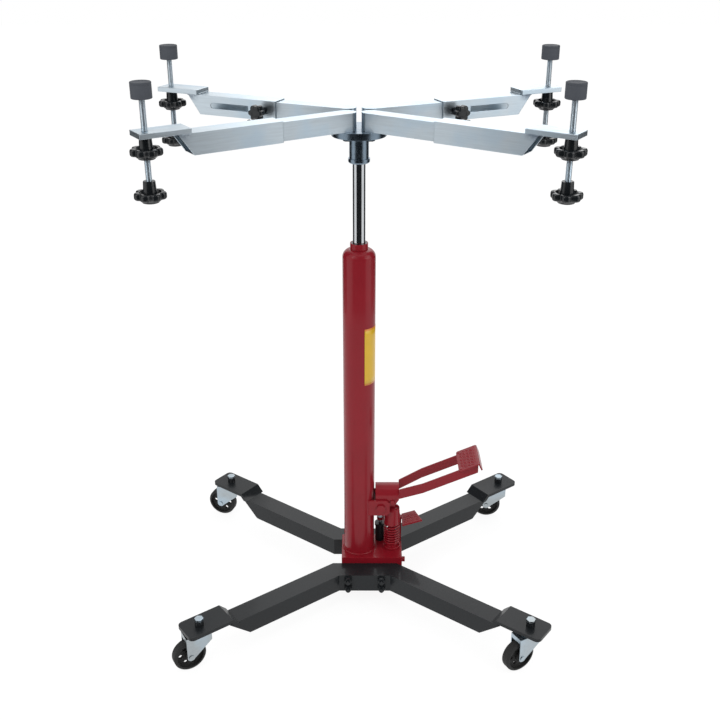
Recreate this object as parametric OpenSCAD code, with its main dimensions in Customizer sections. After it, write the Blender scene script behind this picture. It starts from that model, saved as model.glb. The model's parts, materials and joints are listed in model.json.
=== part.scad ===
// Foot pump column jack with a turning four arm saddle.
// Millimetres. The origin is on the floor, under the axis of the ram.
// X runs left to right, Y from the front to the rear, Z up.

/* [Castors] */
// Wheel diameter
wheel_d = 92; // [80:1:98]
// Wheel width
wheel_w = 30; // [24:1:34]
// Height from the floor to the top face of a castor
castor_h = 119; // [116:1:130]
// Distance from the swivel axis back to the wheel axle
castor_trail = 36; // [30:1:42]
// Diameter of the swivel cap
swivel_d = 62; // [56:1:70]
// Thickness of the fork's sheet steel
fork_t = 3; // [2.5:0.5:4]
// Diameter of the wheel axle
axle_d = 8; // [6:0.5:10]
// Diameter of the bolt that holds a castor
castor_bolt_d = 12; // [10:1:14]

/* [Leg frames] */
// Sideways offset of the leg frames from the ram axis
base_shift = 17; // [10:1:24]
// Half the length of the centre beam, up to the mitre
beam_half = 85; // [80:1:95]
// Angle between a leg and the centre beam
leg_angle = 37; // [32:1:42]
// Distance from the mitre to the castor bolt, along the leg
leg_reach = 455; // [440:5:520]
// Width of the leg tube
leg_w = 60; // [52:1:64]
// Height of the leg tube
leg_h = 55; // [50:1:58]
// Wall of the leg tube
leg_wall = 4; // [3:0.5:5]
// Height of the castor plate's underside above the leg tube
plate_lift = 11; // [9:1:14]
// Thickness of the bent castor plate
plate_t = 10; // [8:1:12]
// Width of the castor plate
plate_w = 80; // [70:1:88]
// Length of the castor plate beyond the castor bolt
plate_out = 48; // [42:1:54]
// Length of the flat part of the castor plate towards the column
plate_in = 83; // [76:1:90]
// Height of the spacer under the castor bolt's head
spacer_h = 15; // [10:1:18]

/* [Pump block] */
// Distance from the ram axis to the left face of the block
block_left = 52; // [50:1:56]
// Distance from the ram axis to the right face of the block
block_right = 128; // [126:1:134]
// Depth of the block, front to rear
block_d = 120; // [114:1:126]
// Height that the block stands above the leg frames
block_rise = 20; // [16:1:26]
// Depth of the block below the top of the leg frames
block_drop = 48; // [46:1:52]
// Diameter of the through studs that hold the leg frames
stud_d = 12; // [10:1:14]
// Distance between the two columns of studs
stud_pitch_x = 98; // [94:1:104]
// Distance between the two rows of studs
stud_pitch_z = 27; // [25:1:29]

/* [Column and ram] */
// Outer diameter of the column tube
col_d = 89; // [86:1:92]
// Wall of the column tube
col_wall = 4; // [3:0.5:5]
// Length of the straight part of the column tube
col_h = 926; // [860:1:980]
// Height of the rounded shoulder
shoulder_h = 22; // [18:1:24]
// Outer diameter of the inner cylinder
cyl_od = 52; // [51:1:54]
// Bore of the inner cylinder
cyl_bore = 42; // [41:0.5:44]
// Outer diameter of the gland ring
gland_d = 48; // [47:1:52]
// Height of the gland ring
gland_h = 17; // [14:1:20]
// Diameter of the chromed ram
rod_d = 34; // [32:0.5:35]
// Length of ram that shows between the gland and the saddle
rod_out = 212; // [206:1:240]
// Length of ram below the top of the gland
rod_in = 709; // [660:1:730]
// Height of the piston
piston_h = 40; // [34:1:46]

/* [Saddle] */
// Diameter of the saddle socket
socket_d = 50; // [46:1:54]
// Length of the straight part of the saddle socket
socket_h = 58; // [54:1:64]
// Diameter of the lip under the socket
lip_d = 56; // [52:1:60]
// Height of the lip under the socket
lip_h = 12; // [10:1:14]
// Diameter of the ram's spigot inside the socket
spigot_d = 30; // [27:0.5:31]
// Length of the ram's spigot inside the socket
spigot_h = 50; // [46:1:60]
// Diameter of the saddle disc
disc_d = 140; // [134:1:150]
// Thickness of the saddle disc
disc_t = 18; // [15:1:20]
// Sideways distance from the ram axis to an arm pivot
pivot_x = 29; // [27:0.5:32]
// Distance from the ram axis to an arm pivot, front to rear
pivot_y = 30; // [28:0.5:34]
// Diameter of the arm pivot bolts
pivot_bolt_d = 12; // [10:1:14]

/* [Arms] */
// Angle of the front arms from the sideways axis
front_swing = 33; // [28:1:36]
// Angle of the rear arms from the sideways axis
rear_swing = 24; // [20:1:28]
// Width and height of the inner arm tube
arm_w = 45; // [42:0.5:46]
// Wall of the inner arm tube
arm_wall = 3; // [2.5:0.5:4]
// Length of the inner arm from its pivot
arm_len = 275; // [262:1:279]
// Wall of the outer sleeve
sleeve_wall = 2.7; // [2.5:0.1:3.2]
// Distance from the pivot to the inner end of the sleeve
sleeve_start = 192; // [188:1:200]
// Distance from the pivot to the top of the sleeve's slanting outer end
sleeve_top_end = 457; // [450:1:466]
// Distance from the pivot to the bottom of the sleeve's slanting outer end
sleeve_low_end = 421; // [419:1:430]
// Distance from the pivot to the clamp screw
clamp_at = 229; // [226:1:234]
// Height of the clamp slot
slot_h = 15; // [13:1:18]
// How far the sleeve slides in
retract = 140; // [120:1:142]
// Distance from the pivot to the spindle
spindle_at = 524; // [515:1:540]
// Width of the end plate
end_w = 60; // [52:1:66]
// Thickness of the end plate
end_t = 12; // [10:1:14]
// Length of the end plate inwards from the spindle
end_in = 99; // [92:1:106]
// Length of the end plate outwards from the spindle
end_out = 24; // [20:1:30]

/* [Spindles and grips] */
// Diameter of the threaded spindle
spindle_d = 14; // [12:1:16]
// Height of the pad's underside above the end plate
pad_rise = 70; // [66:1:90]
// Diameter of the rubber pad
pad_d = 47; // [42:1:52]
// Height of the rubber pad
pad_h = 36; // [32:1:40]
// Overall diameter of a star grip
grip_d = 75; // [68:1:80]
// Diameter of a star grip's hub, where it meets the wheel
grip_hub_d = 32; // [28:1:36]
// Height of a star grip's hub
grip_hub_h = 25; // [22:1:30]
// Height of a star grip's wheel
grip_wheel_h = 25; // [22:1:28]
// Gap between the lock nut and the lower star grip
grip_gap = 49; // [46:1:60]
// Diameter of the sleeve's clamp knob
clamp_d = 42; // [38:1:46]

/* [Foot pump] */
// Distance from the ram axis to the pump axis
pump_x = 98; // [97:1:100]
// Outer diameter of the pump barrel
barrel_d = 34; // [32:1:35]
// Height of the pump barrel above the block
barrel_h = 62; // [56:1:64]
// Diameter of the pump plunger's rod
plunger_rod_d = 22; // [18:1:24]
// Diameter of the pump plunger's head
plunger_head_d = 48; // [44:1:48]
// Outer diameter of the return spring
spring_d = 48; // [47:0.5:49]
// Wire diameter of the return spring
spring_wire = 5.5; // [5:0.1:5.8]
// Number of turns of the return spring
spring_turns = 7; // [6:1:8]
// Length of the return spring at rest
spring_len = 78; // [76:1:84]
// Distance from the ram axis to the pedal pivot
pedal_pivot_x = 64; // [62:1:66]
// Height of the pedal pivot above the block
pedal_pivot_h = 159; // [157:1:165]
// Distance between the inner faces of the bracket's ears
ear_span = 60; // [58:1:62]
// Thickness of the bracket's ears
ear_t = 6; // [5:1:8]
// Diameter of the pedal pivot bolt
pedal_bolt_d = 14; // [12:1:16]
// Length of the pump link between its two pins
link_len = 47; // [45:1:48]
// Sideways reach of the pedal bars from the hub
bar_reach = 225; // [200:1:240]
// Height of a pedal bar
bar_h = 28; // [24:1:30]
// Thickness of a pedal bar
bar_t = 6; // [5:1:8]
// Angle at which the pedal bars rise
bar_angle = 24; // [20:1:27]
// Length of the pedal pad
tread_len = 64; // [56:1:72]
// Width of the pedal pad, front to rear
tread_w = 110; // [96:1:120]

/* [Release pedal] */
// Distance from the ram axis to the release pedal's pivot
release_x = 120; // [119:1:121]
// Distance of the release lever behind the pump axis
release_y = 39; // [38:1:42]
// Height of the release pedal's pivot above the block
release_h = 76; // [74:1:80]
// Width of the release lever
lever_w = 12; // [10:1:13]
// Distance from the ram axis to the release valve
valve_x = 64; // [63:1:66]
// Angle at which the release pedal rises
release_angle = 18; // [14:1:20]
// Outward length of the release pedal's plate
foot_len = 62; // [56:1:70]

/* [Hidden] */

$fn = 64;

// The four corners: front left, front right, rear left, rear right.
FL = 0;
FR = 1;
RL = 2;
RR = 3;
SIDE = [-1, 1, -1, 1];
DEPTH = [-1, -1, 1, 1];
// Direction in which each castor trails, counted from the sideways axis.
TRAIL = [210, 210, 162, 174];

// Clearances
shaft_gap = 0.05;   // radial, between a shaft and the hole that it turns or slides in
seat_gap = 0.3;     // between a turning or sliding piece and its seat
slide_gap = 0.3;    // between the inner arm and the sleeve, on each face
bolt_gap = 0.1;     // radial, round a bolt that only holds
link_gap = 1.5;     // radial, in the link's lower eye and round the valve stem

// Base
wheel_r = wheel_d / 2;
leg_top = castor_h - plate_lift;
leg_z = leg_top - leg_h;
beam_y = block_d / 2 + leg_w / 2;
castor_x = beam_half + leg_reach * cos(leg_angle);
castor_y = beam_y + leg_reach * sin(leg_angle);
plate_top = castor_h + plate_t;
leg_end_over = 6;       // how far the leg tube runs under the flat of the castor plate
weld_depth = 1;         // how deep a welded piece's foot is fused into the tube's wall
leg_end_cut = 62;       // how much shorter the leg tube is at its underside
spacer_d = 24;
castor_head_d = 25;
castor_head_h = 7;
stud_z = (leg_z + leg_top) / 2;
nut_d = 22;
nut_h = 10;
washer_d = 24;
washer_t = 2.5;
stud_end = 8;           // thread that stands out of the nut

// Column
block_top = leg_top + block_rise;
block_z = leg_top - block_drop;
col_top = block_top + col_h;
neck_top = col_top + shoulder_h;
gland_top = neck_top + gland_h;
neck_d = 44;
wiper_d = 42;
wiper_h = 4;
ram_top = gland_top + rod_out;
rod_low = gland_top - rod_in;
piston_z = rod_low - piston_h;
seal_h = 8;
seal_depth = 4;

// Saddle
socket_z = ram_top + seat_gap;
disc_z = socket_z + lip_h + socket_h;
disc_top = disc_z + disc_t;
grub_d = 8;
grub_z = socket_z + lip_h + 19;
pivot_head_d = 22;
pivot_head_h = 8;
pivot_depth = 34;       // how far a pivot bolt reaches into its arm

// Arms
arm_z = disc_top + seat_gap;
arm_mid = arm_z + arm_w / 2;
sleeve_in = arm_w + 2 * slide_gap;
sleeve_w = sleeve_in + 2 * sleeve_wall;
sleeve_top = arm_mid + sleeve_w / 2;
end_top = sleeve_top + end_t;
clamp_screw_d = 10;
clamp_nut_d = 20;
clamp_nut_h = 8;
clamp_neck_d = 20;
clamp_neck_h = 22;
clamp_knob_h = 22;

// Spindles
pad_z = end_top + pad_rise;
pad_top = pad_z + pad_h;
pad_hole = 18;          // depth of the spindle's hole in the pad
grip_hub_top_d = 28;
grip_lobes = 7;
grip_lobe_d = 23;
nut_grip_z = sleeve_top - seat_gap - grip_hub_h - grip_wheel_h;
low_grip_z = nut_grip_z - grip_gap - grip_hub_h - grip_wheel_h;

// Foot pump
spring_z = block_top + 8;
head_z = spring_z + spring_len;
pedal_z = block_top + pedal_pivot_h;
link_z = pedal_z + 18;
link_low_z = link_z - link_len;
head_top = link_low_z + 13;
collar_d = 50;
rod_clear = 22;         // height of the plunger rod's end above the block, at rest
hub_w = ear_span - 1;
hub_t = 5;
hub_left = 48;
hub_right = 117;
hub_top = pedal_z + 63;
link_pin_d = 12;
clevis_pin_d = 9;
link_w = 16;
clevis_w = 17;
ear_low = pedal_z - 26;
ear_high = pedal_z + 25;
ear_right = 90;
pedal_head_d = 25;
bar_low = pedal_z + 28; // height of the bars' underside at the hub
bar_wide = 42;          // distance from the pump axis to a bar's centre, under the pad
bar_narrow = (hub_w - hub_t) / 2;
splay_len = 68;         // sideways length over which the bars spread
bar_tall = bar_h / cos(bar_angle);
tread_t = 4;
tread_flange = 22;

// Release pedal
release_z = block_top + release_h;
lever_t = 8;
release_pin_d = 8;
release_ear_t = 4;
release_ear_w = 15;
foot_t = 6;
foot_front = 49;        // front edge of the pedal plate, from the lever's centre line
foot_back = 11;         // rear edge of the pedal plate, from the lever's centre line
foot_slant = 20;        // how much shorter the plate is at its rear edge
foot_start = 10;        // from the lever's pivot to the plate
valve_d = 30;
valve_h = 52;
valve_cap_d = 34;
valve_cap_h = 8;
stem_d = 10;
stem_head_d = 20;
stem_head_h = 8;
stem_play = 1.6;        // gap between the lever and the stem's head

RED = "#8c1420";
BLACK = "#1c1f21";
ZINC = "#c3d0d6";
CHROME = "#d9dee2";
STEEL = "#9aa0a4";
GRIP = "#121314";
RUBBER = "#3a3f45";
BRONZE = "#a98a4b";

// ---------------------------------------------------------------- helpers

function swing(k) = DEPTH[k] < 0 ? front_swing : rear_swing;

function arm_heading(k) = atan2(DEPTH[k] * sin(swing(k)), SIDE[k] * cos(swing(k)));

// Which side of an arm faces the other arm of the same pair.
function inner_side(k) = -SIDE[k] * DEPTH[k];

module on_arm(k) {
    translate([SIDE[k] * pivot_x, DEPTH[k] * pivot_y, 0])
        rotate([0, 0, arm_heading(k)])
            children();
}

module on_spindle(k) {
    on_arm(k)
        translate([spindle_at, 0, 0])
            children();
}

module on_castor(k) {
    translate([base_shift + SIDE[k] * castor_x, DEPTH[k] * castor_y, 0])
        rotate([0, 0, TRAIL[k]])
            children();
}

module across(x, z, d, len) {
    translate([x, 0, z])
        rotate([90, 0, 0])
            cylinder(d = d, h = len, center = true);
}

module hex_prism(across_corners, h) {
    cylinder(d = across_corners, h = h, $fn = 6);
}

// A flat outline in X and Z, given a thickness along Y.
module upright(thickness) {
    rotate([90, 0, 0])
        linear_extrude(height = thickness, center = true)
            children();
}

// ---------------------------------------------------------------- arms

module inner_arm(k) {
    color(ZINC)
        on_arm(k)
            difference() {
                union() {
                    difference() {
                        union() {
                            translate([0, 0, arm_z])
                                cylinder(d = arm_w, h = arm_w);
                            translate([0, -arm_w / 2, arm_z])
                                cube([arm_len, arm_w, arm_w]);
                        }
                        translate([arm_w, -arm_w / 2 + arm_wall, arm_z + arm_wall])
                            cube([arm_len, arm_w - 2 * arm_wall, arm_w - 2 * arm_wall]);
                    }
                    translate([clamp_at, inner_side(k) * (arm_w / 2 - arm_wall - clamp_nut_h / 2),
                        arm_mid])
                        rotate([90, 0, 0])
                            cylinder(d = clamp_nut_d, h = clamp_nut_h + 1, center = true);
                }
                translate([0, 0, arm_z - 1])
                    cylinder(d = pivot_bolt_d + 2 * shaft_gap, h = pivot_depth + 3);
                translate([clamp_at, inner_side(k) * arm_w / 2, arm_mid])
                    rotate([90, 0, 0])
                        cylinder(d = clamp_screw_d + 2 * shaft_gap, h = arm_w, center = true);
            }
}

module sleeve(k) {
    slot_in = clamp_at - clamp_screw_d;
    slot_out = clamp_at + retract + clamp_screw_d;
    color(ZINC)
        on_arm(k)
            difference() {
                union() {
                    difference() {
                        upright(sleeve_w)
                            polygon([[sleeve_start, arm_mid - sleeve_w / 2],
                                [sleeve_low_end, arm_mid - sleeve_w / 2],
                                [sleeve_top_end, sleeve_top],
                                [sleeve_start, sleeve_top]]);
                        translate([sleeve_start - 1, -sleeve_in / 2, arm_mid - sleeve_in / 2])
                            cube([sleeve_top_end, sleeve_in, sleeve_in]);
                        translate([0, inner_side(k) * sleeve_w / 2, 0])
                            upright(sleeve_w / 2) {
                                translate([slot_in, arm_mid - slot_h / 2])
                                    square([slot_out - slot_in, slot_h]);
                                translate([slot_in, arm_mid])
                                    circle(d = slot_h);
                                translate([slot_out, arm_mid])
                                    circle(d = slot_h);
                            }
                    }
                    translate([spindle_at - end_in, -end_w / 2, sleeve_top])
                        cube([end_in + end_out, end_w, end_t]);
                }
                translate([spindle_at, 0, sleeve_top - 1])
                    cylinder(d = spindle_d + 2 * shaft_gap, h = end_t + 2);
            }
}

module clamp_knob(k) {
    tip = arm_w / 2 - arm_wall - clamp_nut_h - 2;
    neck_at = sleeve_w / 2 + seat_gap;
    color(GRIP)
        on_arm(k)
            translate([clamp_at, 0, arm_mid])
                rotate([-inner_side(k) * 90, 0, 0]) {
                    translate([0, 0, tip])
                        cylinder(d = clamp_screw_d, h = neck_at - tip + 1);
                    translate([0, 0, neck_at])
                        cylinder(d = clamp_neck_d, h = clamp_neck_h);
                    translate([0, 0, neck_at + clamp_neck_h])
                        lobed(clamp_d, 6, 14, clamp_knob_h);
                }
}

// A round block with lobes round its rim.
module lobed(d, lobes, lobe_d, h) {
    linear_extrude(height = h) {
        circle(d = d - lobe_d * 0.7);
        for (i = [0:lobes - 1])
            rotate(360 / lobes * i)
                translate([(d - lobe_d) / 2, 0])
                    circle(d = lobe_d);
    }
}

// A star grip, hub up, standing on the underside of its wheel.
module star_grip() {
    boss_h = grip_wheel_h * 0.35;
    dish_z = grip_wheel_h * 0.6;
    top = grip_wheel_h + grip_hub_h;
    boss_r = grip_hub_d / 2 + 4;
    dish_r = grip_hub_d / 2 + 5;
    rim_r = grip_d / 2 - grip_lobe_d * 0.5;
    difference() {
        translate([0, 0, boss_h])
            lobed(grip_d, grip_lobes, grip_lobe_d, grip_wheel_h - boss_h);
        rotate_extrude()
            polygon([[0, dish_z], [dish_r, dish_z], [rim_r, grip_wheel_h],
                [rim_r, grip_wheel_h + 1], [0, grip_wheel_h + 1]]);
    }
    rotate_extrude()
        polygon([[0, 0], [boss_r, 0], [boss_r, boss_h / 2], [rim_r - 2, boss_h / 2],
            [rim_r - 2, boss_h + 1], [grip_hub_d / 2, boss_h + 1],
            [grip_hub_top_d / 2, top], [0, top]]);
}

module pad(k) {
    bevel = 1.5;
    color(RUBBER)
        on_spindle(k)
            difference() {
                rotate_extrude()
                    polygon([[0, pad_z], [pad_d / 2 - bevel, pad_z], [pad_d / 2, pad_z + bevel],
                        [pad_d / 2, pad_top - bevel], [pad_d / 2 - bevel, pad_top], [0, pad_top]]);
                translate([0, 0, pad_z - 1])
                    cylinder(d = spindle_d + 2 * shaft_gap, h = pad_hole + 1);
            }
}

module spindle(k) {
    color(ZINC)
        on_spindle(k)
            translate([0, 0, low_grip_z + 6])
                cylinder(d = spindle_d, h = pad_z + pad_hole - seat_gap - low_grip_z - 6);
    color(GRIP)
        on_spindle(k)
            translate([0, 0, low_grip_z])
                star_grip();
}

module lock_nut(k) {
    color(GRIP)
        on_spindle(k)
            difference() {
                translate([0, 0, nut_grip_z])
                    star_grip();
                translate([0, 0, nut_grip_z - 1])
                    cylinder(d = spindle_d + 2 * shaft_gap, h = grip_hub_h + grip_wheel_h + 2);
            }
}

// ---------------------------------------------------------------- castors

module fork(k) {
    cap_h = 9;
    gap = 2.5;
    cheek_y = wheel_w / 2 + gap + fork_t / 2;
    cap_z = castor_h - seat_gap - cap_h;
    bridge_z = wheel_d + 5;
    tip_r = 11;
    nose = 26;
    color(ZINC)
        on_castor(k)
            difference() {
                union() {
                    translate([0, 0, cap_z])
                        cylinder(d1 = swivel_d - 8, d2 = swivel_d, h = cap_h / 3);
                    translate([0, 0, cap_z + cap_h / 3])
                        cylinder(d = swivel_d, h = cap_h / 3);
                    translate([0, 0, cap_z + cap_h * 2 / 3])
                        cylinder(d1 = swivel_d, d2 = swivel_d - 8, h = cap_h / 3);
                    translate([-nose, -cheek_y - fork_t / 2, bridge_z])
                        cube([nose + castor_trail + tip_r, 2 * cheek_y + fork_t,
                            cap_z - bridge_z + 0.5]);
                    for (side = [-1, 1])
                        translate([0, side * cheek_y, 0])
                            upright(fork_t) {
                                polygon([[-nose, cap_z], [-nose, bridge_z - 12],
                                    [castor_trail - tip_r * 0.86, wheel_r - tip_r * 0.5],
                                    [castor_trail + tip_r, wheel_r],
                                    [castor_trail + tip_r, cap_z]]);
                                translate([castor_trail, wheel_r])
                                    circle(r = tip_r);
                            }
                    across(castor_trail, wheel_r, axle_d, 2 * cheek_y + fork_t);
                    for (side = [-1, 1])
                        translate([0, side * (cheek_y + fork_t / 2 + 1), 0])
                            across(castor_trail, wheel_r, axle_d + 6, 2.5);
                }
                translate([0, 0, bridge_z - 1])
                    cylinder(d = castor_bolt_d + 2 * shaft_gap, h = castor_h);
            }
}

module wheel(k) {
    hub_r = 14;
    rim_in = wheel_r - 9;
    web = 8;
    holes = 6;
    edge = 5;
    color(GRIP)
        on_castor(k)
            translate([castor_trail, 0, wheel_r])
                rotate([90, 0, 0])
                    difference() {
                        rotate_extrude()
                            polygon([[axle_d / 2 + shaft_gap, -wheel_w / 2],
                                [hub_r, -wheel_w / 2], [hub_r, -web / 2], [rim_in, -web / 2],
                                [rim_in, -wheel_w / 2 + 1], [wheel_r - edge, -wheel_w / 2 + 1],
                                [wheel_r, -wheel_w / 2 + edge], [wheel_r, wheel_w / 2 - edge],
                                [wheel_r - edge, wheel_w / 2 - 1], [rim_in, wheel_w / 2 - 1],
                                [rim_in, web / 2], [hub_r, web / 2], [hub_r, wheel_w / 2],
                                [axle_d / 2 + shaft_gap, wheel_w / 2]]);
                        for (i = [0:holes - 1])
                            rotate([0, 0, 360 / holes * i])
                                translate([(hub_r + rim_in) / 2, 0, -web])
                                    cylinder(d = 11, h = 2 * web);
                    }
}

// ---------------------------------------------------------------- leg frames

// Half of a leg frame's plan outline, on one side of its centre line.
function leg_side(half, len) = [
    [beam_half - half * tan(leg_angle / 2), beam_y + half],
    [beam_half + len * cos(leg_angle) - half * sin(leg_angle),
        beam_y + len * sin(leg_angle) + half * cos(leg_angle)]];

function mirrored(p) = [-p[0], p[1]];

function leg_outline(half, len) =
    let (far = leg_side(half, len), near = leg_side(-half, len))
        [far[0], far[1], near[1], near[0],
            mirrored(near[0]), mirrored(near[1]), mirrored(far[1]), mirrored(far[0])];

module on_leg(side) {
    mirror([side < 0 ? 1 : 0, 0, 0])
        translate([beam_half, beam_y, 0])
            rotate([0, 0, leg_angle])
                children();
}

// The bent strip that carries a castor, in the leg's own axes.
module castor_plate() {
    flat_end = leg_reach - plate_in;
    out_end = leg_reach + plate_out;
    fall = plate_lift + plate_t;
    corner = 14;
    foot = flat_end - fall;
    intersection() {
        upright(plate_w)
            polygon([[out_end, castor_h], [out_end, plate_top], [flat_end, plate_top],
                [foot, leg_top], [foot, leg_top - weld_depth],
                [foot + plate_t * 1.4, leg_top - weld_depth], [foot + plate_t * 1.4, leg_top],
                [flat_end + plate_t * 0.4, castor_h]]);
        translate([0, 0, leg_top - weld_depth - 1])
            linear_extrude(height = weld_depth + plate_lift + plate_t + 2) {
                translate([foot, -plate_w / 2])
                    square([out_end - corner - foot, plate_w]);
                translate([flat_end, -plate_w / 2 + corner])
                    square([out_end - flat_end, plate_w - 2 * corner]);
                for (side = [-1, 1])
                    translate([out_end - corner, side * (plate_w / 2 - corner)])
                        circle(r = corner);
            }
    }
}

module leg_frame(depth) {
    tube_end = leg_reach - plate_in + leg_end_over;
    color(BLACK)
        translate([base_shift, 0, 0])
            mirror([0, depth < 0 ? 1 : 0, 0])
                difference() {
                    union() {
                        difference() {
                            translate([0, 0, leg_z])
                                linear_extrude(height = leg_h)
                                    polygon(leg_outline(leg_w / 2, tube_end));
                            translate([0, 0, leg_z + leg_wall])
                                linear_extrude(height = leg_h - 2 * leg_wall)
                                    polygon(leg_outline(leg_w / 2 - leg_wall, tube_end + 10));
                            for (side = [-1, 1])
                                on_leg(side)
                                    upright(leg_w + 2)
                                        polygon([[tube_end - leg_end_cut, leg_z - 0.5],
                                            [tube_end + 1, leg_z - 0.5], [tube_end + 1, leg_top]]);
                        }
                        for (side = [-1, 1])
                            on_leg(side) {
                                castor_plate();
                                translate([leg_reach, 0, plate_top - 1])
                                    cylinder(d = spacer_d, h = spacer_h + 1);
                            }
                    }
                    for (side = [-1, 1])
                        on_leg(side)
                            translate([leg_reach, 0, castor_h - 1])
                                cylinder(d = castor_bolt_d + 2 * bolt_gap,
                                    h = plate_t + spacer_h + 2);
                    stud_holes();
                }
}

module stud_holes() {
    for (x = [-1, 1], z = [-1, 1])
        translate([x * stud_pitch_x / 2, 0, stud_z + z * stud_pitch_z / 2])
            rotate([90, 0, 0])
                cylinder(d = stud_d + 2 * bolt_gap, h = 2 * beam_y + leg_w + 2, center = true);
}

module leg_studs() {
    face = beam_y + leg_w / 2;
    stud_len = 2 * (face + washer_t + nut_h + stud_end);
    color(BLACK)
        translate([base_shift, 0, stud_z])
            for (x = [-1, 1], z = [-1, 1])
                translate([x * stud_pitch_x / 2, 0, z * stud_pitch_z / 2])
                    rotate([90, 0, 0]) {
                        cylinder(d = stud_d, h = stud_len, center = true);
                        for (end = [0, 1])
                            mirror([0, 0, end])
                                translate([0, 0, face]) {
                                    cylinder(d = washer_d, h = washer_t);
                                    translate([0, 0, washer_t])
                                        hex_prism(nut_d, nut_h);
                                }
                    }
}

module castor_bolts() {
    head_z = plate_top + spacer_h;
    tip_z = castor_h - 12;
    color(ZINC)
        for (k = [FL, FR, RL, RR])
            translate([base_shift + SIDE[k] * castor_x, DEPTH[k] * castor_y, 0]) {
                translate([0, 0, tip_z])
                    cylinder(d = castor_bolt_d, h = head_z - tip_z + 1);
                translate([0, 0, head_z])
                    hex_prism(castor_head_d, castor_head_h);
            }
}

// ---------------------------------------------------------------- column

module pump_block() {
    plug_d = 17;
    plug_len = 9;
    plug_in = 15;       // distance of the plug from the block's front and top edges
    color(RED)
        difference() {
            union() {
                translate([-block_left, -block_d / 2, block_z])
                    cube([block_left + block_right, block_d, block_top - block_z]);
                translate([block_right, plug_in - block_d / 2, block_top - plug_in])
                    rotate([0, 90, 0])
                        hex_prism(plug_d, plug_len);
            }
            translate([base_shift, 0, 0])
                stud_holes();
        }
}

module column_tube() {
    neck_r = neck_d / 2 + bolt_gap;
    outer_r = col_d / 2;
    inner_r = outer_r - col_wall;
    color(RED)
        rotate_extrude($fn = 96)
            union() {
                translate([inner_r, block_top])
                    square([col_wall, col_h]);
                // The shoulder is a quarter round that ends in a flat ring round the neck.
                difference() {
                    union() {
                        translate([neck_r, col_top])
                            square([outer_r - shoulder_h - neck_r, shoulder_h]);
                        intersection() {
                            translate([outer_r - shoulder_h, col_top])
                                circle(r = shoulder_h, $fn = 64);
                            translate([outer_r - shoulder_h, col_top])
                                square([shoulder_h, shoulder_h]);
                        }
                    }
                    translate([0, col_top - 1])
                        square([outer_r - shoulder_h, shoulder_h - col_wall + 1]);
                    translate([outer_r - shoulder_h, col_top])
                        circle(r = shoulder_h - col_wall, $fn = 64);
                }
            }
}

module inner_cylinder() {
    top = col_top - 8;
    color(STEEL)
        translate([0, 0, block_top])
            difference() {
                cylinder(d = cyl_od, h = top - block_top);
                translate([0, 0, -1])
                    cylinder(d = cyl_bore, h = top - block_top + 2);
            }
}

module gland() {
    low = col_top - 8;
    color(RED)
        difference() {
            union() {
                translate([0, 0, low])
                    cylinder(d = neck_d, h = gland_top - low - 1);
                translate([0, 0, neck_top])
                    cylinder(d = gland_d, h = gland_h);
            }
            translate([0, 0, low - 1])
                cylinder(d = rod_d + 2 * shaft_gap, h = gland_top - low + 2);
            translate([0, 0, gland_top - wiper_h])
                cylinder(d = wiper_d, h = wiper_h + 1);
        }
}

module rod_wiper() {
    color(GRIP)
        translate([0, 0, gland_top - wiper_h])
            difference() {
                cylinder(d = wiper_d, h = wiper_h);
                translate([0, 0, -1])
                    cylinder(d = rod_d + 2 * shaft_gap, h = wiper_h + 2);
            }
}

module piston_rod() {
    color(CHROME) {
        translate([0, 0, rod_low])
            cylinder(d = rod_d, h = ram_top - rod_low);
        translate([0, 0, ram_top - 1])
            cylinder(d = spigot_d, h = spigot_h + 1);
    }
}

module piston() {
    color(STEEL)
        difference() {
            translate([0, 0, piston_z])
                cylinder(d = cyl_bore - 2 * shaft_gap, h = piston_h);
            translate([0, 0, piston_z + (piston_h - seal_h) / 2])
                difference() {
                    cylinder(d = cyl_bore + 2, h = seal_h);
                    translate([0, 0, -1])
                        cylinder(d = cyl_bore - 2 * seal_depth, h = seal_h + 2);
                }
        }
}

module piston_seal() {
    color(GRIP)
        translate([0, 0, piston_z + (piston_h - seal_h) / 2])
            difference() {
                cylinder(d = cyl_bore - shaft_gap, h = seal_h);
                translate([0, 0, -1])
                    cylinder(d = cyl_bore - 2 * seal_depth, h = seal_h + 2);
            }
}

// ---------------------------------------------------------------- saddle

module saddle_socket() {
    round_r = 5;
    color(STEEL)
        difference() {
            union() {
                rotate_extrude()
                    union() {
                        translate([0, socket_z])
                            square([lip_d / 2 - round_r, lip_h]);
                        translate([0, socket_z + round_r])
                            square([lip_d / 2, lip_h - round_r]);
                        translate([lip_d / 2 - round_r, socket_z + round_r])
                            circle(r = round_r);
                    }
                translate([0, 0, socket_z + lip_h - 1])
                    cylinder(d = socket_d, h = socket_h + 1);
            }
            translate([0, 0, socket_z - 1])
                cylinder(d = spigot_d + 2 * shaft_gap, h = spigot_h + 2);
            translate([0, -socket_d / 2, grub_z])
                rotate([90, 0, 0])
                    cylinder(d = grub_d + 2 * bolt_gap, h = socket_d, center = true);
        }
}

module saddle_disc() {
    color(STEEL)
        difference() {
            translate([0, 0, disc_z])
                cylinder(d = disc_d, h = disc_t, $fn = 96);
            for (k = [FL, FR, RL, RR])
                translate([SIDE[k] * pivot_x, DEPTH[k] * pivot_y, disc_z - 1])
                    cylinder(d = pivot_bolt_d + 2 * bolt_gap, h = disc_t + 2);
        }
}

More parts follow.
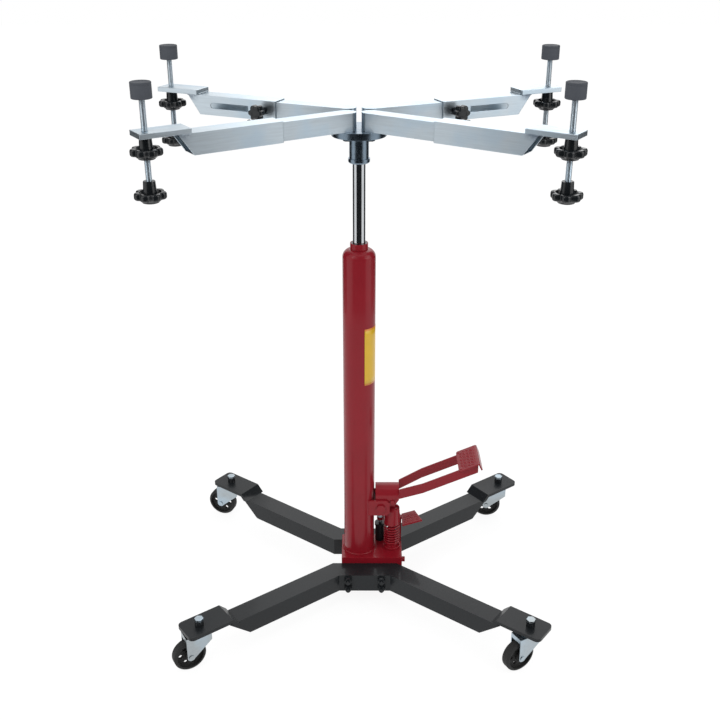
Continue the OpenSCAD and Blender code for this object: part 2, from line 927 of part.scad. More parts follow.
module saddle_screws() {
    grub_len = socket_d / 2 - spigot_d / 2 - 2;
    color(STEEL) {
        for (k = [FL, FR, RL, RR])
            translate([SIDE[k] * pivot_x, DEPTH[k] * pivot_y, 0]) {
                translate([0, 0, disc_z - pivot_head_h])
                    hex_prism(pivot_head_d, pivot_head_h);
                translate([0, 0, disc_z - 1])
                    cylinder(d = pivot_bolt_d, h = disc_t + seat_gap + pivot_depth + 1);
            }
        translate([0, -spigot_d / 2 - seat_gap, grub_z])
            rotate([90, 0, 0])
                cylinder(d = grub_d, h = grub_len);
    }
}

// ---------------------------------------------------------------- foot pump

module pedal_bracket() {
    chamfer = 9;
    color(RED)
        difference() {
            for (side = [-1, 1])
                translate([0, side * (ear_span + ear_t) / 2, 0])
                    upright(ear_t)
                        polygon([[0, ear_low], [ear_right - chamfer, ear_low],
                            [ear_right, ear_low + chamfer], [ear_right, ear_high - chamfer],
                            [ear_right - chamfer, ear_high], [0, ear_high]]);
            translate([0, 0, ear_low - 1])
                cylinder(d = col_d, h = ear_high - ear_low + 2, $fn = 96);
            across(pedal_pivot_x, pedal_z, pedal_bolt_d + 2 * bolt_gap, ear_span + 3 * ear_t);
        }
}

module pedal_pivot_bolt() {
    face = ear_span / 2 + ear_t;
    head_h = 6;
    color(RED) {
        across(pedal_pivot_x, pedal_z, pedal_bolt_d, 2 * face + 2 * head_h);
        for (side = [-1, 1])
            translate([0, side * (face + head_h / 2), 0])
                across(pedal_pivot_x, pedal_z, pedal_head_d, head_h);
    }
}

// Side outline of the hub's two cheeks.
module cheek_outline() {
    crown = hub_w / 2;
    polygon([[hub_left, pedal_z], [hub_left, hub_top - crown], [hub_right, hub_top - crown],
        [hub_right, bar_low - 4], [pump_x + 9, link_z - 9], [pump_x - 9, link_z - 9],
        [pedal_pivot_x + 11, pedal_z - 11]]);
    translate([pedal_pivot_x, pedal_z])
        circle(r = pedal_pivot_x - hub_left);
    translate([pump_x, link_z])
        circle(r = 13);
}

module pedal_hub() {
    crown = hub_w / 2;
    color(RED)
        difference() {
            union() {
                for (side = [-1, 1])
                    translate([0, side * (hub_w - hub_t) / 2, 0])
                        upright(hub_t)
                            cheek_outline();
                translate([hub_left, 0, hub_top - crown])
                    rotate([90, 0, 90])
                        linear_extrude(height = hub_right - hub_left)
                            difference() {
                                circle(r = crown);
                                circle(r = crown - hub_t);
                                translate([-hub_w, -2 * hub_w])
                                    square([2 * hub_w, 2 * hub_w]);
                            }
            }
            across(pedal_pivot_x, pedal_z, pedal_bolt_d + 2 * shaft_gap, 2 * hub_w);
            across(pump_x, link_z, link_pin_d + 2 * shaft_gap, 2 * hub_w);
        }
}

// Plan outline of one bar: it spreads out from the hub's cheek, then runs straight.
function bar_plan(side, half) =
    let (spread = hub_right + splay_len, far = hub_right + bar_reach)
        [[hub_right, side * bar_narrow - half], [spread, side * bar_wide - half],
            [far, side * bar_wide - half], [far, side * bar_wide + half],
            [spread, side * bar_wide + half], [hub_right, side * bar_narrow + half]];

module pedal_bars() {
    rise = bar_reach * tan(bar_angle);
    far = hub_right + bar_reach;
    color(RED)
        intersection() {
            translate([0, 0, bar_low])
                linear_extrude(height = rise + bar_tall)
                    for (side = [-1, 1])
                        polygon(bar_plan(side, bar_t / 2));
            upright(2 * bar_wide + 4 * bar_t)
                polygon([[hub_right, bar_low], [far, bar_low + rise],
                    [far, bar_low + rise + bar_tall], [hub_right, bar_low + bar_tall]]);
        }
}

module pedal_tread() {
    top = bar_low + bar_reach * tan(bar_angle) + bar_tall;
    color(RED)
        translate([hub_right + bar_reach, 0, top])
            rotate([0, -bar_angle, 0]) {
                translate([tread_t - tread_len, -tread_w / 2, 0])
                    cube([tread_len, tread_w, tread_t]);
                translate([0, -tread_w / 2, -tread_flange])
                    cube([tread_t, tread_w, tread_flange + tread_t]);
            }
}

module pump_link() {
    eye = 11;
    low_eye = 9;
    color(RED) {
        difference() {
            upright(link_w) {
                translate([pump_x, link_z])
                    circle(r = eye);
                translate([pump_x, link_low_z])
                    circle(r = low_eye);
                translate([pump_x - low_eye, link_low_z])
                    square([2 * low_eye, link_len]);
            }
            across(pump_x, link_low_z, clevis_pin_d + 2 * link_gap, 2 * link_w);
        }
        across(pump_x, link_z, link_pin_d, hub_w + 6);
    }
}

module plunger() {
    bevel = 8;
    corner = 0.35 * bevel;
    slot_low = link_low_z - 13;
    head_r = plunger_head_d / 2;
    color(RED) {
        difference() {
            at_pump()
                rotate_extrude()
                    polygon([[0, head_z], [head_r, head_z], [head_r, head_top - bevel],
                        [head_r - corner, head_top - corner], [head_r - bevel, head_top],
                        [0, head_top]]);
            translate([pump_x - plunger_head_d, -clevis_w / 2, slot_low])
                cube([2 * plunger_head_d, clevis_w, head_top]);
        }
        across(pump_x, link_low_z, clevis_pin_d, plunger_head_d - 6);
        at_pump()
            translate([0, 0, block_top + rod_clear])
                cylinder(d = plunger_rod_d, h = head_z - block_top - rod_clear + 1);
    }
}

module at_pump() {
    translate([pump_x, 0, 0])
        children();
}

module pump_barrel() {
    color(RED)
        at_pump()
            difference() {
                union() {
                    translate([0, 0, block_top])
                        cylinder(d = collar_d, h = spring_z - block_top);
                    translate([0, 0, block_top])
                        cylinder(d = barrel_d, h = barrel_h);
                }
                translate([0, 0, block_top - 1])
                    cylinder(d = plunger_rod_d + 2 * shaft_gap, h = barrel_h + 2);
            }
}

// Return spring: one tube that winds up round the barrel. Each end stands straight up
// for one wire diameter, square to its seat.
curl_rings = 8;
wire_sides = 6;
ease = 0.5;             // part of a turn over which the wire bends from upright to wound
spring_r = (spring_d - spring_wire) / 2;
last_ring = curl_rings * spring_turns;

// Height along the winding, with a quick rise where the upright ends join it.
function wound_share(t) = t / spring_turns;

function bend_lift(t) = t >= ease ? 1 : sin(90 * t / ease);

function winding(i) =
    let (t = i / curl_rings,
        lift = 0.55 * spring_wire,
        low = spring_z + spring_wire,
        high = head_z - spring_wire,
        body = high - low - 2 * lift)
        [spring_r * cos(360 * t), spring_r * sin(360 * t),
            low + lift * bend_lift(t) + body * wound_share(t)
                + lift * (1 - bend_lift(spring_turns - t))];

spring_path = concat(
    [[spring_r, 0, spring_z]],
    [for (i = [0:last_ring]) winding(i)],
    [[spring_r * cos(360 * spring_turns), spring_r * sin(360 * spring_turns), head_z]]);

function unit(v) = v / norm(v);

function path_tangent(p, i) =
    i == 0 || i == len(p) - 1 ? [0, 0, 1] :
    i == 1 ? unit([0, 0, 1] + unit(p[2] - p[1])) :
    i == len(p) - 2 ? unit(unit(p[i] - p[i - 1]) + [0, 0, 1]) :
    unit(p[i + 1] - p[i - 1]);

function wire_ring(p, i) =
    let (out = unit([p[i][0], p[i][1], 0]), along = cross(path_tangent(p, i), out))
        [for (s = [0:wire_sides - 1])
            p[i] + spring_wire / 2 * (cos(360 / wire_sides * s) * out
                + sin(360 / wire_sides * s) * unit(along))];

module swept_wire(p) {
    rings = len(p);
    points = [for (i = [0:rings - 1]) each wire_ring(p, i)];
    sides = [for (i = [0:rings - 2], s = [0:wire_sides - 1])
        let (a = i * wire_sides + s, b = i * wire_sides + (s + 1) % wire_sides)
            each [[a, a + wire_sides, b], [b, a + wire_sides, b + wire_sides]]];
    low_cap = [for (s = [1:wire_sides - 2]) [0, s, s + 1]];
    base = (rings - 1) * wire_sides;
    high_cap = [for (s = [1:wire_sides - 2]) [base, base + s + 1, base + s]];
    polyhedron(points = points, faces = concat(sides, low_cap, high_cap));
}

function least(v, i = 0, m = 1e9) = i >= len(v) ? m : least(v, i + 1, min(m, v[i]));

spring_gap = least([for (i = [0:len(spring_path) - 1], j = [i + curl_rings / 2:len(spring_path) - 1])
    norm(spring_path[i] - spring_path[j])]) - spring_wire;

module return_spring() {
    echo(spring_least_gap = spring_gap);
    color(RED)
        at_pump()
            swept_wire(spring_path);
}

// ---------------------------------------------------------------- release pedal

module release_bracket() {
    inner = lever_w / 2 + 0.5;
    top_r = release_ear_w / 2;
    color(RED)
        translate([0, release_y, 0])
            for (side = [-1, 1])
                difference() {
                    translate([0, side * (inner + release_ear_t / 2), 0])
                        upright(release_ear_t) {
                            translate([release_x - top_r, block_top])
                                square([release_ear_w, release_h]);
                            translate([release_x, release_z])
                                circle(r = top_r);
                        }
                    across(release_x, release_z, release_pin_d + 2 * bolt_gap, 4 * lever_w);
                }
    color(STEEL)
        translate([0, release_y, 0])
            across(release_x, release_z, release_pin_d, lever_w + 2 * release_ear_t + 5);
}

module release_pedal() {
    eye_r = 8;
    reach = release_x - valve_x;
    color(RED)
        translate([release_x, release_y, release_z])
            difference() {
                union() {
                    upright(lever_w) {
                        circle(r = eye_r);
                        translate([-reach, -lever_t / 2])
                            square([reach, lever_t]);
                        rotate(release_angle)
                            translate([0, -lever_t / 2])
                                square([foot_start + 4, lever_t]);
                    }
                    translate([-reach, 0, -lever_t / 2])
                        cylinder(d = stem_d + 2 * link_gap + 8, h = lever_t);
                    rotate([0, -release_angle, 0])
                        translate([foot_start, 0, lever_t / 2 - foot_t])
                            linear_extrude(height = foot_t)
                                polygon([[0, -foot_front], [foot_len, -foot_front],
                                    [foot_len - foot_slant, foot_back], [0, foot_back]]);
                }
                across(0, 0, release_pin_d + 2 * shaft_gap, 3 * lever_w);
                translate([-reach, 0, -lever_t])
                    cylinder(d = stem_d + 2 * link_gap, h = 2 * lever_t);
            }
}

module release_valve() {
    color(BLACK)
        translate([valve_x, release_y, block_top])
            difference() {
                union() {
                    cylinder(d = valve_d, h = valve_h);
                    translate([0, 0, valve_h])
                        cylinder(d = valve_cap_d, h = valve_cap_h);
                }
                translate([0, 0, 10])
                    cylinder(d = stem_d + 2 * shaft_gap, h = valve_h + valve_cap_h);
            }
}

module valve_stem() {
    head_at = release_z + lever_t / 2 + stem_play;
    stem_low = block_top + valve_h - 30;
    color(STEEL)
        translate([valve_x, release_y, 0]) {
            translate([0, 0, stem_low])
                cylinder(d = stem_d, h = head_at - stem_low + 1);
            translate([0, 0, head_at])
                hex_prism(stem_head_d, stem_head_h);
        }
}

// ---------------------------------------------------------------- nodes

inner_arm(FL);  // front_left_inner_arm
inner_arm(FR);  // front_right_inner_arm
inner_arm(RL);  // rear_left_inner_arm
inner_arm(RR);  // rear_right_inner_arm
sleeve(FL);  // front_left_sleeve
sleeve(FR);  // front_right_sleeve
sleeve(RL);  // rear_left_sleeve
sleeve(RR);  // rear_right_sleeve
clamp_knob(FL);  // front_left_clamp_knob
clamp_knob(FR);  // front_right_clamp_knob
clamp_knob(RL);  // rear_left_clamp_knob
clamp_knob(RR);  // rear_right_clamp_knob
pad(FL);  // front_left_pad
pad(FR);  // front_right_pad
pad(RL);  // rear_left_pad
pad(RR);  // rear_right_pad
spindle(FL);  // front_left_spindle
spindle(FR);  // front_right_spindle
spindle(RL);  // rear_left_spindle
spindle(RR);  // rear_right_spindle
lock_nut(FL);  // front_left_lock_nut
lock_nut(FR);  // front_right_lock_nut
lock_nut(RL);  // rear_left_lock_nut
lock_nut(RR);  // rear_right_lock_nut
fork(FL);  // front_left_fork
fork(FR);  // front_right_fork
fork(RL);  // rear_left_fork
fork(RR);  // rear_right_fork
wheel(FL);  // front_left_wheel
wheel(FR);  // front_right_wheel
wheel(RL);  // rear_left_wheel
wheel(RR);  // rear_right_wheel
leg_frame(-1);  // front_leg_frame
leg_frame(1);  // rear_leg_frame
leg_studs();
castor_bolts();
pump_block();
column_tube();
inner_cylinder();
gland();
rod_wiper();
piston_rod();
piston();
piston_seal();
saddle_socket();
saddle_disc();
saddle_screws();
pedal_bracket();
pedal_pivot_bolt();
pedal_hub();
pedal_bars();
pedal_tread();
pump_link();
plunger();
return_spring();
pump_barrel();
release_bracket();
release_pedal();
release_valve();
valve_stem();
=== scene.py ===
"""Foot pump column jack: finishes and fine detail built round the construction model."""

import json
import math

import bpy
from bpy.props import FloatProperty, FloatVectorProperty, PointerProperty
from mathutils import Matrix, Vector


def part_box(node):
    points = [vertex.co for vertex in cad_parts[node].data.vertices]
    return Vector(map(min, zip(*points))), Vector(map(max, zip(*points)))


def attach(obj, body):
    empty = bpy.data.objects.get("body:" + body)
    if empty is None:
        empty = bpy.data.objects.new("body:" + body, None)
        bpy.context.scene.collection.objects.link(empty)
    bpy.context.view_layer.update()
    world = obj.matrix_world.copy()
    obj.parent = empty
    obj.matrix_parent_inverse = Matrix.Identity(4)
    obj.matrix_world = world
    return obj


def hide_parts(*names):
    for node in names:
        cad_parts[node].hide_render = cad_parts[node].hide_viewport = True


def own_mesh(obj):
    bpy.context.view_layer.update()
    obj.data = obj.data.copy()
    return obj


bl_info = {
    "name": "Column Jack",
    "version": (1, 0, 0),
    "blender": (4, 5, 0),
    "location": "View3D > Sidebar > Jack",
    "description": "Dresses a foot pump column jack and sets a plain studio round it",
    "category": "Object",
}

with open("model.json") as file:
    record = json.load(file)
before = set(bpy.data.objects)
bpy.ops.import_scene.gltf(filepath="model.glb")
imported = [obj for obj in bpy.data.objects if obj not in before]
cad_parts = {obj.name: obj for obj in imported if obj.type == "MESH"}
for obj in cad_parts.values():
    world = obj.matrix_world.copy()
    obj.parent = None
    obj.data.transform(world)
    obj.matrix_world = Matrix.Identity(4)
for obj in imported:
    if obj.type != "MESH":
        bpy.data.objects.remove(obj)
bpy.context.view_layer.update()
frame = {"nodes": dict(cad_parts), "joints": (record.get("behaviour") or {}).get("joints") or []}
JOINTS = {joint["name"]: joint for joint in frame["joints"]}
CORNERS = ("front_left", "front_right", "rear_left", "rear_right")

MM = 0.001

# Sizes of the construction model that its boxes don't give directly, in metres and radians.
END_PLATE = 12 * MM
END_PLATE_START = 425 * MM
SLEEVE_WIDTH = 51 * MM
GRIP_HEIGHT = 50 * MM
BAR_ANGLE = math.radians(24)
TREAD_LENGTH = 64 * MM
TREAD_THICKNESS = 4 * MM
TREAD_FLANGE = 22 * MM
RELEASE_ANGLE = math.radians(18)


# ---------------------------------------------------------------- settings

def length(name, description, default):
    """A length setting in metres."""
    return FloatProperty(
        name=name, description=description, default=default, min=0.0, unit="LENGTH", precision=5
    )


def colour(name, description, default):
    """A colour setting."""
    return FloatVectorProperty(
        name=name, description=description, default=default, min=0.0, max=1.0,
        subtype="COLOR", size=3
    )


class JackSizes(bpy.types.PropertyGroup):
    """Sizes of the fine detail."""

    tube_edge: length("Tube edge", "Rounding of the arm tubes' edges", 1.3 * MM)
    leg_edge: length("Leg edge", "Rounding of the leg tubes' edges", 2.6 * MM)
    part_edge: length("Part edge", "Rounding of machined edges", 0.8 * MM)
    sheet_edge: length("Sheet edge", "Rounding of pressed sheet edges", 1.2 * MM)
    thread_pitch: length("Thread pitch", "Pitch of the spindles' thread", 2.0 * MM)
    thread_depth: length("Thread depth", "Depth of the spindles' thread", 0.9 * MM)
    weld: length("Weld radius", "Radius of a weld bead", 2.6 * MM)
    rib: length("Rib height", "Height of the pedals' embossed ribs", 1.1 * MM)


class JackColours(bpy.types.PropertyGroup):
    """Colours of the finishes."""

    zinc: colour("Zinc", "Bright zinc plate", (0.60, 0.68, 0.74))
    zinc_dark: colour("Dark zinc", "Zinc plate of the castor forks and screws", (0.42, 0.46, 0.48))
    steel: colour("Steel", "Blackened steel of the saddle", (0.20, 0.26, 0.32))
    chrome: colour("Chrome", "Chrome of the ram", (0.55, 0.57, 0.59))
    red: colour("Red", "Red gloss paint", (0.27, 0.009, 0.018))
    black: colour("Black", "Black satin paint", (0.012, 0.014, 0.016))
    grip: colour("Grip", "Moulded grips", (0.008, 0.010, 0.012))
    rubber: colour("Rubber", "Rubber pads", (0.036, 0.046, 0.056))
    wheel: colour("Wheel", "Castor wheels", (0.011, 0.012, 0.014))
    film: colour("Film", "Plain film on the column", (0.76, 0.47, 0.012))


class JackStage(bpy.types.PropertyGroup):
    """The camera and the lights."""

    lens: FloatProperty(
        name="Lens", description="Focal length in millimetres", default=50.0, min=10.0
    )
    place: FloatVectorProperty(
        name="Camera place", description="Where the camera stands",
        default=(0.0125, -2.510, 1.931), size=3, subtype="TRANSLATION"
    )
    tilt: FloatProperty(
        name="Camera tilt", description="Angle of the view above straight down",
        default=math.radians(64.83), subtype="ANGLE"
    )
    turn: FloatProperty(
        name="Camera turn", description="Turn of the view round the vertical",
        default=math.radians(0.23), subtype="ANGLE"
    )
    key: FloatProperty(name="Key light", description="Power of the key light", default=42.0)
    fill: FloatProperty(name="Fill light", description="Power of the fill lights", default=20.0)
    sky: FloatProperty(name="Sky", description="Strength of the surrounding light", default=0.62)


# ---------------------------------------------------------------- shader maths

class Signal:
    """A shader socket. Python operators on it add Math nodes."""

    def __init__(self, shader, socket):
        self.shader = shader
        self.socket = socket

    def math(self, operation, *values, clamp=False):
        settings = {"operation": operation, "use_clamp": clamp}
        return self.shader.node("ShaderNodeMath", settings, dict(enumerate(values)))

    def __add__(self, other):
        return self.math("ADD", self, other)

    __radd__ = __add__

    def __sub__(self, other):
        return self.math("SUBTRACT", self, other)

    def __rsub__(self, other):
        return self.math("SUBTRACT", other, self)

    def __mul__(self, other):
        return self.math("MULTIPLY", self, other)

    __rmul__ = __mul__

    def __abs__(self):
        return self.math("ABSOLUTE", self)

    def clamped(self):
        """The signal held between 0 and 1."""
        return self.math("ADD", self, 0.0, clamp=True)


def above(signal, edge, width):
    """0 below the edge, 1 above it, with a ramp of that width."""
    return ((signal - edge) * (1.0 / width) + 0.5).clamped()


class Nodes:
    """A node tree that is emptied and then built up."""

    def __init__(self, tree):
        self.tree = tree
        self.tree.nodes.clear()

    def feed(self, socket, value):
        """Links a signal to a socket, or sets the socket's own value."""
        if isinstance(value, Signal):
            self.tree.links.new(value.socket, socket)
        else:
            socket.default_value = value

    def node(self, kind, settings=None, inputs=None, output=0):
        """Any node: its settings, the values or signals of its inputs, and the output to use."""
        made = self.tree.nodes.new(kind)
        for key, value in (settings or {}).items():
            setattr(made, key, value)
        for key, value in (inputs or {}).items():
            self.feed(made.inputs[key], value)
        return Signal(self, made.outputs[output])

    def seen(self):
        """1 for what the camera sees, straight or in metal and glass."""
        rays = ("Is Camera Ray", "Is Glossy Ray", "Is Transmission Ray")
        parts = [self.node("ShaderNodeLightPath", output=ray) for ray in rays]
        return (parts[0] + parts[1] + parts[2]).clamped()


class Shader(Nodes):
    """A material and its nodes round one Principled shader."""

    def __init__(self, name, base, roughness, metallic=0.0, coat=0.0):
        self.material = bpy.data.materials.new(name)
        self.material.use_nodes = True
        super().__init__(self.material.node_tree)
        self.surface = self.tree.nodes.new("ShaderNodeBsdfPrincipled")
        self.output = self.tree.nodes.new("ShaderNodeOutputMaterial")
        self.tree.links.new(self.surface.outputs[0], self.output.inputs["Surface"])
        self.put("Base Color", (*base, 1.0))
        self.put("Roughness", roughness)
        self.put("Metallic", metallic)
        self.put("Coat Weight", coat)
        self.put("Coat Roughness", 0.08)

    def put(self, name, value):
        """Sets or links an input of the Principled shader."""
        self.feed(self.surface.inputs[name], value)

    def coords(self, place=(0, 0, 0), turn=0.0, stretch=(1, 1, 1)):
        """Position in metres from a place, turned about the vertical, then stretched."""
        position = self.node("ShaderNodeTexCoord", output="Object")
        local = self.node(
            "ShaderNodeMapping", {"vector_type": "TEXTURE"},
            {"Vector": position, "Location": place, "Rotation": (0, 0, turn)}
        )
        return self.node("ShaderNodeVectorMath", {"operation": "MULTIPLY"}, {0: local, 1: stretch})

    def noise(self, scale, vector, detail=3.0, roughness=0.55):
        """A noise texture, 0 to 1."""
        inputs = {"Vector": vector, "Scale": scale, "Detail": detail, "Roughness": roughness}
        return self.node("ShaderNodeTexNoise", {}, inputs)

    def axis(self, vector, index):
        """One component of a vector."""
        return self.node("ShaderNodeSeparateXYZ", {}, {0: vector}, output=index)

    def mix(self, factor, first, second):
        """A colour between two, which may be colours or signals."""
        inputs = {0: factor}
        for slot, value in ((6, first), (7, second)):
            inputs[slot] = value if isinstance(value, Signal) else (*value, 1.0)
        return self.node("ShaderNodeMix", {"data_type": "RGBA"}, inputs, output=2)

    def bump(self, height, distance, strength=1.0):
        """Raises the surface by a height signal."""
        inputs = {"Height": height, "Distance": distance, "Strength": strength}
        self.put("Normal", self.node("ShaderNodeBump", {}, inputs))


def shade(tint, factor):
    """A colour made lighter or darker."""
    return tuple(min(1.0, part * factor) for part in tint)


# ---------------------------------------------------------------- finishes

def zinc_plate(name, tint, place=(0, 0, 0), turn=0.0, seam=None):
    """Bright zinc plate, drawn along a tube, with a dull smudge at a weld seam."""
    finish = Shader(name, tint, 0.34, metallic=1.0)
    along = finish.coords(place, turn, (5, 90, 90))
    local = finish.coords(place, turn)
    streak = finish.noise(2.2, along, 4.0, 0.6)
    cloud = finish.noise(11.0, local, 3.0, 0.5)
    grain = finish.noise(420.0, local, 2.0, 0.5)
    tone = finish.mix((streak * 0.65 + cloud * 0.35), shade(tint, 0.70), shade(tint, 1.28))
    blue = finish.mix(above(cloud, 0.56, 0.2) * 0.5, tone, (0.46, 0.60, 0.72))
    rough = 0.24 + 0.16 * streak + 0.10 * cloud
    if seam:
        start, end, height = seam
        run = finish.axis(local, 0)
        rise = finish.axis(local, 2)
        inside = above(run, start, 0.02) * (1.0 - above(run, end, 0.03))
        near = above(rise, height - 11 * MM, 14 * MM) * (1.0 - above(rise, height + 1 * MM, 2 * MM))
        smudge = inside * near * above(finish.noise(90.0, local), 0.42, 0.25)
        blue = finish.mix(smudge * 0.75, blue, (0.17, 0.21, 0.27))
        rough = rough + 0.2 * smudge
    finish.put("Base Color", blue)
    finish.put("Roughness", rough)
    finish.bump(streak * 0.7 + grain * 0.3, 0.12 * MM, 0.5)
    return finish.material


def turned_steel(name, tint):
    """Machined steel: fine rings about the vertical, uneven sheen."""
    finish = Shader(name, tint, 0.26, metallic=1.0)
    rings = finish.noise(1.0, finish.coords(stretch=(18, 18, 900)), 3.0)
    cloud = finish.noise(60.0, finish.coords(), 3.0)
    tone = finish.mix(rings * 0.5 + cloud * 0.5, shade(tint, 0.6), shade(tint, 1.5))
    finish.put("Base Color", tone)
    finish.put("Roughness", 0.18 + 0.22 * cloud)
    finish.bump(rings, 0.05 * MM, 0.4)
    return finish.material


def chrome(name, tint):
    """Hard chrome with faint polishing rings."""
    finish = Shader(name, tint, 0.07, metallic=1.0)
    rings = finish.noise(1.0, finish.coords(stretch=(30, 30, 1400)), 2.0)
    wipe = finish.noise(14.0, finish.coords(), 3.0)
    finish.put("Base Color", finish.mix(wipe, shade(tint, 0.88), shade(tint, 1.12)))
    finish.put("Roughness", 0.05 + 0.05 * rings + 0.05 * wipe)
    return finish.material


def gloss_paint(name, tint):
    """Gloss paint with orange peel and a slight change of depth."""
    finish = Shader(name, tint, 0.30, coat=0.2)
    local = finish.coords()
    cloud = finish.noise(9.0, local, 3.0)
    fine = finish.noise(260.0, local, 2.0)
    dust = above(finish.noise(700.0, local, 1.0), 0.72, 0.06)
    tone = finish.mix(cloud, shade(tint, 0.84), shade(tint, 1.16))
    finish.put("Base Color", finish.mix(dust * 0.10, tone, shade(tint, 1.8)))
    finish.put("Roughness", 0.22 + 0.14 * cloud + 0.04 * fine)
    finish.put("Specular IOR Level", 0.2)
    finish.bump(fine * 0.7 + cloud * 0.3, 0.10 * MM, 0.35)
    return finish.material


def satin_paint(name, tint):
    """Black powder coat: fine texture, a little lighter where it is thin."""
    finish = Shader(name, tint, 0.36, coat=0.15)
    local = finish.coords()
    cloud = finish.noise(7.0, local, 3.0)
    fine = finish.noise(520.0, local, 2.0)
    tone = finish.mix(cloud, shade(tint, 0.75), shade(tint, 1.6))
    finish.put("Base Color", finish.mix(above(fine, 0.66, 0.1) * 0.25, tone, shade(tint, 3.0)))
    finish.put("Roughness", 0.30 + 0.14 * cloud + 0.06 * fine)
    finish.put("Specular IOR Level", 0.2)
    finish.bump(fine, 0.06 * MM, 0.5)
    return finish.material


def moulded(name, tint, roughness, texture=0.05):
    """Moulded plastic or rubber with a fine spark-eroded texture."""
    finish = Shader(name, tint, roughness)
    local = finish.coords()
    cloud = finish.noise(45.0, local, 3.0)
    fine = finish.noise(900.0, local, 2.0)
    tone = finish.mix(cloud * 0.6 + fine * 0.4, shade(tint, 0.7), shade(tint, 1.4))
    finish.put("Base Color", tone)
    finish.put("Roughness", (roughness - 0.07) + 0.14 * cloud)
    finish.bump(fine, texture * MM, 0.5)
    return finish.material


def plain_film(name, tint, centre):
    """Printed film: one plain colour with a narrow darker border, a little scuffed."""
    finish = Shader(name, tint, 0.34, coat=0.3)
    local = finish.coords(centre)
    cloud = finish.noise(40.0, local, 3.0)
    edge = above(abs(finish.axis(local, 2)), 0.079, 0.002)
    tone = finish.mix(cloud, shade(tint, 0.9), shade(tint, 1.1))
    finish.put("Base Color", finish.mix(edge * 0.8, tone, (0.75, 0.20, 0.02)))
    finish.put("Roughness", 0.28 + 0.14 * cloud)
    return finish.material


def finish_for(context, name):
    """The shared finish of that name, made when it is first asked for."""
    found = bpy.data.materials.get(name)
    if found:
        return found
    tint = context.scene.jack_colours
    makers = {
        "red_gloss": lambda: gloss_paint(name, tint.red),
        "black_satin": lambda: satin_paint(name, tint.black),
        "zinc_screw": lambda: zinc_plate(name, tint.zinc_dark),
        "zinc_thread": lambda: zinc_plate(name, shade(tint.zinc, 0.9)),
        "saddle_steel": lambda: turned_steel(name, tint.steel),
        "inner_steel": lambda: turned_steel(name, (0.5, 0.5, 0.5)),
        "ram_chrome": lambda: chrome(name, tint.chrome),
        "grip_gloss": lambda: moulded(name, tint.grip, 0.24, 0.02),
        "pad_rubber": lambda: moulded(name, tint.rubber, 0.55),
        "wheel_black": lambda: moulded(name, tint.wheel, 0.38),
    }
    return makers[name]()


# ---------------------------------------------------------------- mesh tools

def make_piece(name, vertices, faces, material, body, sharp=40.0):
    """A smooth mesh piece that rides on a body."""
    mesh = bpy.data.meshes.new(name)
    mesh.from_pydata([tuple(v) for v in vertices], [], faces)
    mesh.update()
    mesh.shade_smooth()
    mesh.set_sharp_from_angle(angle=math.radians(sharp))
    piece = bpy.data.objects.new(name, mesh)
    bpy.context.scene.collection.objects.link(piece)
    mesh.materials.append(material)
    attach(piece, body)
    return piece


def loft_faces(rings, count, capped=True):
    """Quads between rings of equally many points, with flat ends."""
    faces = []
    for ring in range(rings - 1):
        for i in range(count):
            a = ring * count + i
            b = ring * count + (i + 1) % count
            faces.append((a, b, b + count, a + count))
    if capped:
        last = (rings - 1) * count
        faces.append(tuple(reversed(range(count))))
        faces.append(tuple(range(last, last + count)))
    return faces


def lathe(name, profile, place, material, body, segments, sharp=40.0, capped=True):
    """Turns a profile of (radius, height) about the Z axis of a place."""
    vertices = []
    for radius, height in profile:
        for i in range(segments):
            angle = math.tau * i / segments
            point = Vector((radius * math.cos(angle), radius * math.sin(angle), height))
            vertices.append(place @ point)
    faces = loft_faces(len(profile), segments, capped)
    return make_piece(name, vertices, faces, material, body, sharp)


def arc(centre, radius, start, end):
    """Points of a round corner in a profile, from one angle to another, in degrees."""
    steps = 5
    points = []
    for i in range(steps + 1):
        angle = math.radians(start + (end - start) * i / steps)
        points.append((centre[0] + radius * math.cos(angle), centre[1] + radius * math.sin(angle)))
    return points


def tube(name, path, radius, material, body, sides=10, closed=False, ripple=0.0):
    """A round bar swept along points. Ripple swells and narrows it like a run of weld."""
    ripple_pitch = 3.2 * MM
    count = len(path)
    vertices = []
    side = None
    run = 0.0
    for i, point in enumerate(path):
        before = path[i - 1] if i or closed else point
        after = path[(i + 1) % count] if i < count - 1 or closed else point
        tangent = (after - before).normalized()
        if side is None:
            side = tangent.orthogonal().normalized()
        side = (side - tangent * side.dot(tangent)).normalized()
        up = tangent.cross(side)
        run += (point - before).length if i else 0.0
        swell = radius * (1.0 + ripple * math.sin(run / ripple_pitch * math.tau))
        for j in range(sides):
            angle = math.tau * j / sides
            vertices.append(point + swell * (side * math.cos(angle) + up * math.sin(angle)))
    faces = loft_faces(count, sides, not closed)
    if closed:
        last = (count - 1) * sides
        shift = closest_start(vertices, sides, last)
        for j in range(sides):
            a, b = last + j, last + (j + 1) % sides
            c, d = (j + 1 + shift) % sides, (j + shift) % sides
            faces.append((a, b, c, d))
    return make_piece(name, vertices, faces, material, body, 60.0)


def closest_start(vertices, sides, last):
    """Which point of the first ring the last ring's first point meets."""
    gaps = [(vertices[last] - vertices[j]).length for j in range(sides)]
    return gaps.index(min(gaps))


def line(start, end, step=1.0 * MM):
    """Evenly spaced points between two."""
    count = max(2, round((end - start).length / step))
    return [start.lerp(end, i / count) for i in range(count + 1)]


def circle(centre, radius, count):
    """Points round a level circle."""
    turns = [math.tau * i / count for i in range(count)]
    return [centre + radius * Vector((math.cos(t), math.sin(t), 0)) for t in turns]


